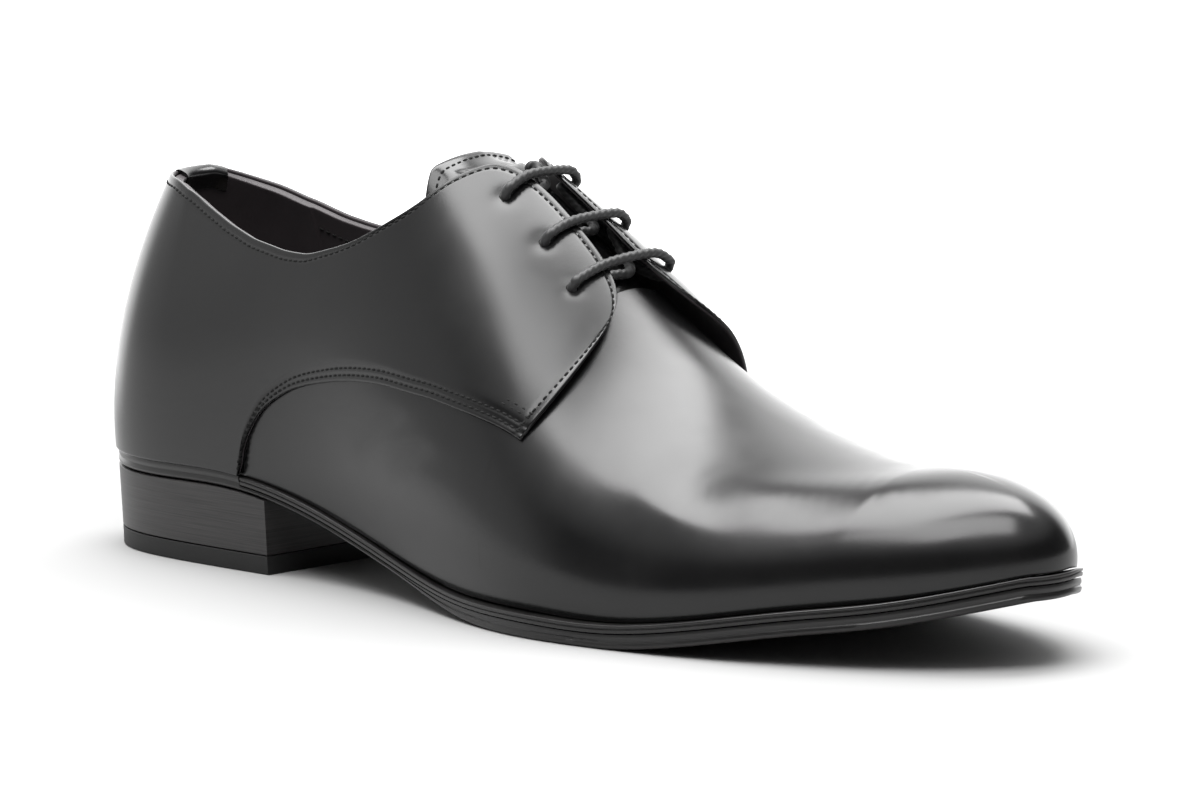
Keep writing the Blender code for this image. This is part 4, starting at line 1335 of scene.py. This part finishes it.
@dataclass
class Stitching:
    """Rows of thread that Geometry Nodes lays along the seams."""

    pitch: float = 1.95
    length: float = 1.5
    radius: float = 0.27
    sink: float = 0.34
    proud: float = 0.05
    flat: float = 1.15
    sides: int = 6
    stops: tuple[tuple[float, float], ...] = ((-0.5, 0.55), (-0.36, 0.95), (0.0, 1.0), (0.36, 0.95), (0.5, 0.55))
    jitter: tuple[float, float] = (0.92, 1.06)
    seed: int = 11

    def stitch(self) -> Object:
        """One stitch along X: a flat loop of thread whose ends dip into the leather."""
        turns = np.linspace(0, 2 * np.pi, self.sides, endpoint=False)
        rings = []
        for part, size in self.stops:
            across, up = size * self.radius * np.cos(turns) * self.flat, size * self.radius * np.sin(turns)
            rise = self.proud - self.sink * (2 * part) ** 4
            rings.append(np.stack([level(HEEL_POLE + part * self.length)(turns), across, rise + up], -1))
        return make_tube("stitch", rings, [], ROUND_EDGE)

    @staticmethod
    def tree() -> GeometryNodeTree:
        """Node tree: points at an even pitch along each path carry one stitch, turned to path and leather."""
        tree = bpy.data.node_groups.new("stitch_rows", "GeometryNodeTree")
        for name, kind in (("Paths", "Geometry"), ("Pitch", "Float"), ("Stitch", "Object"), ("Thread", "Material"),
                           ("Least", "Float"), ("Most", "Float"), ("Seed", "Int")):
            tree.interface.new_socket(name, in_out="INPUT", socket_type="NodeSocket" + kind)
        tree.interface.new_socket("Stitches", in_out="OUTPUT", socket_type="NodeSocketGeometry")
        given = add_node(tree, "NodeGroupInput").outputs
        curve = add_node(tree, "GeometryNodeMeshToCurve", {"Mesh": given["Paths"]})
        spots = add_node(tree, "GeometryNodeCurveToPoints", {"Curve": curve.outputs["Curve"], "Length": given["Pitch"]},
                         mode="LENGTH")
        leather = add_node(tree, "GeometryNodeInputNamedAttribute", {"Name": "outward"}, data_type="FLOAT_VECTOR")
        turn = add_node(tree, "FunctionNodeAxesToRotation", {
            0: spots.outputs["Tangent"], 1: leather.outputs["Attribute"]}, primary_axis="X", secondary_axis="Z")
        size = add_node(tree, "FunctionNodeRandomValue", {2: given["Least"], 3: given["Most"], "Seed": given["Seed"]},
                        data_type="FLOAT")
        shape = add_node(tree, "GeometryNodeObjectInfo", {"Object": given["Stitch"]})
        laid = add_node(tree, "GeometryNodeInstanceOnPoints", {
            "Points": spots.outputs["Points"], "Instance": shape.outputs["Geometry"],
            "Rotation": turn.outputs["Rotation"], "Scale": size.outputs[1]})
        real = add_node(tree, "GeometryNodeRealizeInstances", {"Geometry": laid.outputs["Instances"]})
        dyed = add_node(tree, "GeometryNodeSetMaterial", {"Geometry": real.outputs["Geometry"],
                                                          "Material": given["Thread"]})
        add_node(tree, "NodeGroupOutput", {"Stitches": dyed.outputs["Geometry"]})
        return tree

    def build(self, name: str, seams: Sequence[Seam], thread: Material, slot: Slot) -> None:
        """Sews a set of seams.

        Args:
            name: name of the piece.
            seams: paths of the rows.
            thread: material of the thread.
            slot: material slot of the record.
        """
        points = (np.concatenate([seam.points for seam in seams]) - (HEEL_POLE, 0.0, 0.0)) * MM
        edges, start = [], 0
        for seam in seams:
            edges += [(i, i + 1) for i in range(start, start + len(seam.points) - 1)]
            start += len(seam.points)
        mesh = bpy.data.meshes.new(name)
        mesh.from_pydata(points.tolist(), edges, [])
        outward = np.concatenate([seam.outward for seam in seams]).astype(np.float32)
        mesh.attributes.new("outward", "FLOAT_VECTOR", "POINT").data.foreach_set("vector", outward.ravel())
        piece, stitch, tree = add_object(name, mesh), self.stitch(), self.tree()
        sewn = piece.modifiers.new("stitches", "NODES")
        sewn.node_group = tree
        values = {"Pitch": self.pitch * MM, "Stitch": stitch, "Thread": thread, "Least": self.jitter[0],
                  "Most": self.jitter[1], "Seed": self.seed}
        for item in tree.interface.items_tree:
            if item.in_out == "INPUT" and item.name in values:
                sewn[item.identifier] = values[item.name]
        piece.data = bake(piece)
        bpy.data.objects.remove(stitch)
        hand_over(piece, slot)


@dataclass
class Bottom:
    """Welt, outsole, heel and insole."""

    last: Last
    gap: float = 0.3
    welt_thick: float = 2.0
    outsole_thick: float = 3.6
    waist_thick: float = 1.3
    waist_span: tuple[float, float] = (118.0, 172.0)
    welt_end: float = 62.0
    welt_inset: float = 3.2
    rim_inset: float = 3.6
    margin_rear: float = 2.2
    margin_front: float = 4.0
    margin_span: tuple[float, float] = (115.0, 185.0)
    toe_trim: float = 1.8
    toe_span: tuple[float, float] = (262.0, 299.0)
    bed_inset: float = 4.0
    # cut into the edge, rise above the underside, part of the way from there to the rim
    sole_profile: tuple[tuple[float, float, float], ...] = (
        (1.7, 0.0, 0.0), (0.9, 0.02, 0.0), (0.45, 0.16, 0.0), (0.16, 0.42, 0.0), (0.02, 0.8, 0.0), (0.0, 0.8, 0.0),
        (0.02, 0.8, 0.24), (0.3, 0.8, 0.36), (0.3, 0.8, 0.44), (0.02, 0.8, 0.56), (0.0, 0.8, 0.8), (0.15, 0.8, 1.0))
    welt_step: float = 0.35
    # cut into the edge, drop from the top
    welt_profile: tuple[tuple[float, float], ...] = (
        (0.45, 0.0), (0.2, 0.06), (0.05, 0.22), (0.0, 0.45), (0.05, 0.72), (0.34, 0.86), (0.34, 0.98), (0.05, 1.12),
        (0.0, 1.4), (0.05, 1.75), (0.3, 2.0))
    heel_breast: float = 71.0
    heel_taper: float = 0.8
    joint_taper: float = 0.85
    lift_rows: tuple[float, float, int] = (0.01, 0.99, 9)  # first and last part of the height, count
    lift_cuts: tuple[float, float] = (0.15, 0.2)
    top_piece_thick: float = 4.6
    top_piece_cut: float = 0.12
    # part of the taper, height
    top_piece_base: tuple[tuple[float, float], ...] = ((1.6, 0.0), (1.15, 0.15), (1.0, 0.5))
    insole_inset: float = 1.0
    # cut into the edge, rise
    insole_profile: tuple[tuple[float, float], ...] = ((0.0, 0.0), (0.0, 1.3), (0.2, 1.6), (0.6, 1.8), (8.0, 1.8))
    step: float = 1.3
    end_gap: float = 0.02
    jump: float = 0.3

    def margin(self, x: Array) -> Array:
        """How far the sole shows outside the feather edge: close at heel and toe tip, wider round the ball."""
        wide = self.margin_rear + (self.margin_front - self.margin_rear) * ease(x, *self.margin_span)
        return wide - self.toe_trim * ease(x, *self.toe_span)

    def underside(self, x: Array) -> Array:
        """Underside of the outsole: slim through seat and waist, flat under the ball, then toe spring."""
        thick = self.waist_thick + (self.outsole_thick - self.waist_thick) * ease(x, *self.waist_span)
        return np.maximum(self.last.feather(x) - 2 * self.gap - self.welt_thick - thick, 0.0)

    def rim(self, x: Array) -> Array:
        """Top of the outsole's edge, a step lower where the welt lies on it."""
        return self.last.feather(x) - self.gap - (self.welt_thick + self.gap) * np.where(x > self.welt_end, 1.0, 0.0)

    def stations(self) -> Array:
        """Even stations round the sole, with both ends of the welt's step."""
        plain = np.arange(0.0, LAST_LENGTH, self.step)
        plain = plain[np.abs(plain - self.welt_end) > 2 * self.jump]
        extra = [self.welt_end - self.jump, self.welt_end + self.jump, LAST_LENGTH - self.end_gap]
        made = np.unique(np.concatenate([plain, extra]))
        made[0] = self.end_gap
        return made

    def cut(self, depth: float) -> Curve:
        """Margin of the sole's edge, less a cut."""
        return lambda x: self.margin(x) - depth

    def over_feather(self, rise: float) -> Curve:
        """Height above the feather edge."""
        return lambda x: self.last.feather(x) + rise

    def over_underside(self, rise: float, part: float) -> Curve:
        """Height above the sole's underside, and from there a part of the way up to its rim."""
        return lambda x: (self.underside(x) + rise) * (1 - part) + self.rim(x) * part

    def ring(self, stations: Array, margin: Curve, height: Curve) -> Array:
        """Closed ring round the sole at a margin from the feather edge and at a height, both functions of x."""
        halves = []
        for side in Side:
            x, y = self.last.plan(side, stations, margin(self.last.foot(side, stations)[0]))
            halves.append(np.stack([x, y, height(x)], -1))
        return np.concatenate([halves[0], halves[1][::-1]])

    def outsole(self, finish: Material) -> Object:
        """Leather sole: rounded lower edge, one fine groove, and a raised bed inside the welt."""
        stations = self.stations()
        rings = [self.ring(stations, self.cut(depth), self.over_underside(rise, part))
                 for depth, rise, part in self.sole_profile]
        rings.append(self.ring(stations, level(-self.rim_inset), self.rim))
        rings.append(self.ring(stations, level(-self.bed_inset), self.over_feather(-self.gap)))
        return make_stack("outsole_leather", rings, finish)

    def welt(self, finish: Material) -> Object:
        """Strip round the edge from breast to breast, its side worked into two beads."""
        stations = self.stations()
        stations = np.concatenate([[self.welt_end + 2 * self.jump], stations[stations > self.welt_end + 1.0]])
        edge = [(self.cut(depth - self.welt_step), drop) for depth, drop in self.welt_profile]
        inside = level(-self.welt_inset)
        strips = [self.ring(stations, margin, self.over_feather(-self.gap - drop))
                  for margin, drop in [(inside, 0.0), *edge, (inside, self.welt_thick)]]
        return make_tube("welt_leather", np.stack(strips, axis=1), [finish])

    def heel_stations(self) -> Array:
        """Stations round the heel up to its breast, clear of the welt's step."""
        stations = self.stations()
        clear = (stations < self.heel_breast - 1) & (np.abs(stations - self.welt_end) > 1)
        return np.append(stations[clear], self.heel_breast)

    def heel_stack(self, finish: Material) -> Object:
        """Stacked block under the heel seat, with a fine bevel at both joints."""
        stations, foot = self.heel_stations(), self.top_piece_thick + self.gap
        profile = [(part, 0.0) for part in np.linspace(*self.lift_rows)]
        profile = [(0.0, self.lift_cuts[0]), *profile, (1.0, self.lift_cuts[1])]
        rings = [self.ring(stations, self.cut(self.heel_taper * self.joint_taper * (1 - part) + depth),
                           lambda x, p=part: foot + (self.underside(x) - self.gap - foot) * p)
                 for part, depth in profile]
        return make_stack("heel_lifts", rings, finish)

    def top_piece(self, finish: Material) -> Object:
        """Rubber piece that meets the floor."""
        stations, top, bevel = self.heel_stations(), self.top_piece_thick, self.top_piece_cut
        side = self.heel_taper * self.joint_taper
        profile = [(self.heel_taper * part, height) for part, height in self.top_piece_base]
        profile += [(side, top - bevel), (side + bevel, top)]
        rings = [self.ring(stations, self.cut(depth), level(height)) for depth, height in profile]
        return make_stack("heel_rubber", rings, finish)

    def insole(self, finish: Material) -> Object:
        """Thin bed for the foot with a softened edge."""
        rings = [self.ring(self.stations(), level(-self.insole_inset - depth), self.over_feather(rise))
                 for depth, rise in self.insole_profile]
        return make_stack("insole_sock", rings, finish)

    def build(self, edge: Material, leather: Material, rubber: Material, sock: Material) -> None:
        """Builds the pieces under the foot."""
        hand_over(self.outsole(edge), Slot.SOLE_EDGE, "outsole")
        hand_over(self.welt(edge), Slot.SOLE_EDGE, "welt")
        hand_over(self.heel_stack(leather), Slot.HEEL, "heel_stack")
        hand_over(self.top_piece(rubber), Slot.RUBBER, "heel_top_piece")
        hand_over(self.insole(sock), Slot.LINING, "insole")


@dataclass
class Lace:
    """One round waxed cord: a bar over each pair of eyelets, led on under the flaps and back below the next bar."""

    last: Last
    walls: Walls
    lateral: Quarter
    medial: Quarter
    radius: float = 1.15
    turn: float = 2.25
    turn_stops: tuple[float, ...] = (90, 45, 0, -45, -90)
    clear: float = 0.6
    bar_clear: float = 0.3
    bar_shares: tuple[tuple[Side, float], ...] = ((Side.LATERAL, 0.92), (Side.MEDIAL, 0.90))
    # side, station, share and offset of each place
    short_end: tuple[tuple[Side, float, float, float], ...] = (
        (Side.MEDIAL, 129.6, 0.97, -0.4), (Side.MEDIAL, 129.9, 0.97, 0.9), (Side.MEDIAL, 131.2, 0.975, 2.1),
        (Side.MEDIAL, 133.2, 0.985, 1.6), (Side.LATERAL, 135.6, 1.0, 0.75), (Side.LATERAL, 136.5, 0.94, 0.85))
    # side, part of the way to the next pair, millimetres beyond it, share
    hidden_lead: tuple[tuple[Side, float, float, float], ...] = (
        (Side.MEDIAL, 0.5, 0.0, 0.86), (Side.MEDIAL, 1.0, 0.0, 0.93), (Side.LATERAL, 1.0, 0.5, 0.95))
    tail_share: float = 0.765
    tail_ends: tuple[float, float] = (-6.0, 2.0)
    tail_stops: int = 4
    curve_steps: int = 24
    spacing: float = 0.3
    sides: int = 20
    plies: int = 3
    ply_mm: float = 2.0
    ply_depth: float = 0.08
    length: float = field(default=0.0, init=False)

    def half_turn(self, frame: tuple[Array, Array, Array], angles: Sequence[float]) -> list[Array]:
        """Points of the cord through an eyelet, from above the flap (90) to below it (-90)."""
        centre, normal, inward = frame
        return [centre + inward * self.turn * (1 - math.cos(math.radians(a)))
                + normal * self.turn * math.sin(math.radians(a)) for a in angles]

    def route(self) -> list[Array]:
        """Points that the cord passes, from the short end over the tongue to the hidden tail."""
        down = self.turn_stops
        lateral, medial = self.lateral.eyelet_frames(), self.medial.eyelet_frames()
        eyelets = self.lateral.eyelets
        under = self.walls.tongue_outer + self.radius + self.clear
        route = [self.last.skin(*place) for place in self.short_end]
        for row, (station, _) in enumerate(eyelets):
            route += self.half_turn(lateral[row], down[::-1])
            for side, share in self.bar_shares:
                lift = float(self.walls.lift(side, station, 1.0))
                route.append(self.last.skin(side, station, share,
                                            self.walls.quarter_outer + lift + self.radius + self.bar_clear))
            if row + 1 < len(eyelets):
                route += self.half_turn(medial[row], down)
                pitch = eyelets[row + 1][0] - station
                route += [self.last.skin(side, station + pitch * part + past, share, under)
                          for side, part, past, share in self.hidden_lead]
        centre, normal, _ = medial[-1]
        route += self.half_turn(medial[-1], down[:3]) + [centre - normal * self.turn]
        start, end = eyelets[-1][0] + self.tail_ends[0], eyelets[0][0] + self.tail_ends[1]
        return route + [self.last.skin(Side.MEDIAL, station, self.tail_share, under)
                        for station in np.linspace(start, end, self.tail_stops)]

    def path(self) -> Array:
        """Evenly spaced points along a smooth curve through the route."""
        points = np.asarray(self.route(), float)
        ends = np.vstack([2 * points[0] - points[1], points, 2 * points[-1] - points[-2]])
        t = np.linspace(0, 1, self.curve_steps, endpoint=False)[:, None]
        fine = [0.5 * (2 * b + (c - a) * t + (2 * a - 5 * b + 4 * c - d) * t**2 + (3 * b - a - 3 * c + d) * t**3)
                for a, b, c, d in zip(ends, ends[1:], ends[2:], ends[3:])]
        fine = np.concatenate(fine + [points[-1:]])
        walked = walked_along(fine)
        self.length = float(walked[-1])
        even = np.linspace(0, walked[-1], int(walked[-1] / self.spacing) + 1)
        return np.stack([np.interp(even, walked, fine[:, k]) for k in range(3)], -1)

    def build(self, cord: Material) -> None:
        """Builds the cord with the low ridges of its twisted strands."""
        path = self.path()
        tangent = unit(np.gradient(path, axis=0))
        across = np.cross(tangent[0], (0.0, 0.0, 1.0))
        turns = np.linspace(0, 2 * np.pi, self.sides, endpoint=False)
        rings = []
        for i, (centre, direction) in enumerate(zip(path, tangent)):
            across = unit(across - direction * across.dot(direction))
            third = np.cross(direction, across)
            twist = self.plies * turns + 2 * np.pi * i * self.spacing / self.ply_mm
            size = self.radius * (1 + self.ply_depth * np.cos(twist))
            rings.append(centre + size[:, None] * (np.cos(turns)[:, None] * across + np.sin(turns)[:, None] * third))
        hand_over(make_tube("lace_cord", rings, [cord], ROUND_EDGE), Slot.CORD, "lace")
        LOG.info("lace: %.0f mm of cord from its short end to its tail", self.length)


class Softbox(NamedTuple):
    """Level soft light over the shoe, in metres: it reaches out along an azimuth and spans to both sides of it."""

    name: str
    azimuth: float
    near: float
    far: float
    left: float
    right: float
    height: float
    radiance: float


@dataclass
class Studio:
    """White floor, soft lights and the camera."""

    target: tuple[float, float, float] = (0.117, 0.0, 0.04)
    azimuth: float = 45.6
    elevation: float = 8.97
    distance: float = 2.5377
    lens: float = 318.0
    sensor: float = 36.0
    clip: tuple[float, float] = (0.05, 100.0)
    aim_right: float = 0.00365
    aim_up: float = 0.0073
    roll: float = -0.8
    floor_colour: str = "#a6a6a6"
    floor_radius: float = 1.4
    floor_fade: tuple[float, float] = (0.28, 0.6)
    floor_dullness: tuple[float, float] = (0.75, 0.85)
    floor_specular: float = 0.1
    floor_cloud: float = 2.0
    floor_sides: int = 96
    backdrop_azimuth: float = -100.0
    backdrop: float = 0.72
    backdrop_fade: tuple[float, float] = (0.25, 0.5)
    glow: float = 1.7
    glow_fade: tuple[float, float] = (0.62, 0.8)
    room: float = 0.1
    ceiling: float = 0.8
    ceiling_fade: tuple[float, float] = (0.45, 0.75)
    ground: float = 1.05
    ground_fade: tuple[float, float] = (-0.02, 0.0)
    softboxes: tuple[Softbox, ...] = (
        Softbox("overhead_softbox", -110.0, -0.03, 0.66, -0.66, 0.96, 1.24, 9.0),
        Softbox("front_softbox", 55.0, 0.15, 0.66, -0.36, 0.6, 0.89, 6.5),
    )

    @staticmethod
    def direction(azimuth: float, elevation: float) -> Vector:
        """Unit vector from the shoe towards a place given by its azimuth and elevation."""
        a, e = math.radians(azimuth), math.radians(elevation)
        return Vector((math.sin(a) * math.cos(e), -math.cos(a) * math.cos(e), math.sin(e)))

    def camera(self) -> None:
        """Camera at the photograph's angle, framing the one shoe."""
        data = bpy.data.cameras.new("camera")
        data.lens, data.sensor_width = self.lens, self.sensor
        data.clip_start, data.clip_end = self.clip
        made = add_object("camera", data)
        back = self.direction(self.azimuth, self.elevation)
        right = Vector((math.cos(math.radians(self.azimuth)), math.sin(math.radians(self.azimuth)), 0.0))
        made.location = Vector(self.target) + back * self.distance
        aim = Vector(self.target) + right * self.aim_right + back.cross(right) * self.aim_up
        turn = Quaternion((0.0, 0.0, 1.0), math.radians(self.roll))
        made.rotation_euler = ((made.location - aim).to_track_quat("Z", "Y") @ turn).to_euler()
        bpy.context.scene.camera = made

    def lights(self) -> None:
        """Soft lights that face the floor."""
        for box in self.softboxes:
            data = bpy.data.lights.new(box.name, "AREA")
            data.shape, data.size, data.size_y = "RECTANGLE", box.right - box.left, box.far - box.near
            data.energy = box.radiance * math.pi * data.size * data.size_y
            made = add_object(box.name, data)
            out, turn = self.direction(box.azimuth, 0.0), math.radians(box.azimuth) + math.pi
            aside = Vector((math.cos(turn), math.sin(turn), 0.0))
            spot = Vector(self.target) + out * (box.near + box.far) / 2 + aside * (box.left + box.right) / 2
            made.location = (spot.x, spot.y, box.height)
            made.rotation_euler = (0.0, 0.0, turn)
            made.visible_camera = False

    def world(self) -> None:
        """White backdrop at the left with a glow behind the shoe, pale ceiling, white ground and a dark room."""
        made = bpy.data.worlds.new("studio")
        made.use_nodes = True
        bpy.context.scene.world = made
        tree = made.node_tree
        tree.nodes.clear()
        way = add_node(tree, "ShaderNodeTexCoord").outputs["Generated"]
        side, behind = (add_node(tree, "ShaderNodeVectorMath", {0: way, 1: tuple(self.direction(azimuth, 0.0))},
                                 operation="DOT_PRODUCT").outputs["Value"]
                        for azimuth in (self.backdrop_azimuth, self.azimuth + 180.0))
        height = add_node(tree, "ShaderNodeSeparateXYZ", {"Vector": way}).outputs["Z"]
        above = add_node(tree, "ShaderNodeMapRange", {"Value": height, **span("From", self.ceiling_fade),
                                                      **span("To", (self.room, self.ceiling))})
        wall = add_node(tree, "ShaderNodeMapRange", {"Value": side, **span("From", self.backdrop_fade),
                                                     **span("To", (above.outputs["Result"], self.backdrop))},
                        interpolation_type="SMOOTHSTEP")
        glow = add_node(tree, "ShaderNodeMapRange", {"Value": behind, **span("From", self.glow_fade),
                                                     **span("To", (0.0, self.glow))}, interpolation_type="SMOOTHSTEP")
        ground = add_node(tree, "ShaderNodeMapRange", {"Value": height, **span("From", self.ground_fade),
                                                       **span("To", (self.ground, 0.0))})
        back = add_node(tree, "ShaderNodeMath", {0: wall.outputs["Result"], 1: glow.outputs["Result"]})
        most = add_node(tree, "ShaderNodeMath", {0: back.outputs["Value"], 1: ground.outputs["Result"]},
                        operation="MAXIMUM")
        sky = add_node(tree, "ShaderNodeBackground", {"Color": (1.0, 1.0, 1.0, 1.0), "Strength": most.outputs["Value"]})
        add_node(tree, "ShaderNodeOutputWorld", {"Surface": sky.outputs["Background"]})

    def floor(self) -> None:
        """Plain pale floor that takes the shadows and thins out into the white ground around it."""
        made, tree, shader = start_material("painted_studio_floor")
        place = add_node(tree, "ShaderNodeTexCoord").outputs["Object"]
        cloud = add_node(tree, "ShaderNodeTexNoise", {"Vector": place, "Scale": self.floor_cloud, "Detail": 2.0})
        dull = add_node(tree, "ShaderNodeMapRange", {"Value": cloud.outputs["Fac"], **span("To", self.floor_dullness)})
        tree.links.new(dull.outputs["Result"], shader.inputs["Roughness"])
        shader.inputs["Base Color"].default_value = linear(self.floor_colour)
        shader.inputs["Specular IOR Level"].default_value = self.floor_specular
        centre = (self.target[0], self.target[1], 0.0)
        away = add_node(tree, "ShaderNodeVectorMath", {0: place, 1: centre}, operation="DISTANCE")
        solid = add_node(tree, "ShaderNodeMapRange", {"Value": away.outputs["Value"], **span("From", self.floor_fade),
                                                      **span("To", (1.0, 0.0))}, interpolation_type="SMOOTHSTEP")
        tree.links.new(solid.outputs["Result"], shader.inputs["Alpha"])
        work = bmesh.new()
        bmesh.ops.create_circle(work, cap_ends=True, segments=self.floor_sides, radius=self.floor_radius)
        mesh = bpy.data.meshes.new("floor")
        work.to_mesh(mesh)
        work.free()
        mesh.materials.append(made)
        add_object("floor", mesh)

    def build(self) -> None:
        """Sets up floor, lights, backdrop and camera."""
        bpy.context.scene.view_settings.view_transform = "Standard"
        self.floor()
        self.lights()
        self.world()
        self.camera()


def main() -> None:
    """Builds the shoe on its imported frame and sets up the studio."""
    logging.basicConfig(level=logging.INFO, format="%(message)s")
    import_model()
    last, walls = Last(LAST_SECTIONS), Walls()
    pattern = QuarterPattern(last, walls)
    calf = PolishedCalf().make()
    lining, sock, rubber = LiningLeather().make(), SockLeather().make(), HeelRubber().make()
    thread, cord = WaxedThread().make(), WaxedCord().make()
    edge, lifts = SoleEdge().make(), HeelLifts().make()
    Bottom(last).build(edge, lifts, rubber, sock)
    quarters = {side: Quarter(last, walls, pattern, side) for side in Side}
    upper = Upper(last, walls, pattern)
    upper.build(calf, lining)
    for quarter in quarters.values():
        quarter.build(calf, lining)
    HeelTab(last, pattern).build(calf)
    sewing = Stitching()
    sewing.build("upper_stitches", [seam for quarter in quarters.values() for seam in quarter.stitches()]
                 + [upper.tongue_stitches()], thread, Slot.CORD)
    sewing.build("lining_stitches", upper.lining_stitches(), thread, Slot.CORD)
    Lace(last, walls, quarters[Side.LATERAL], quarters[Side.MEDIAL]).build(cord)
    Studio().build()


if __name__ == "__main__":
    main()
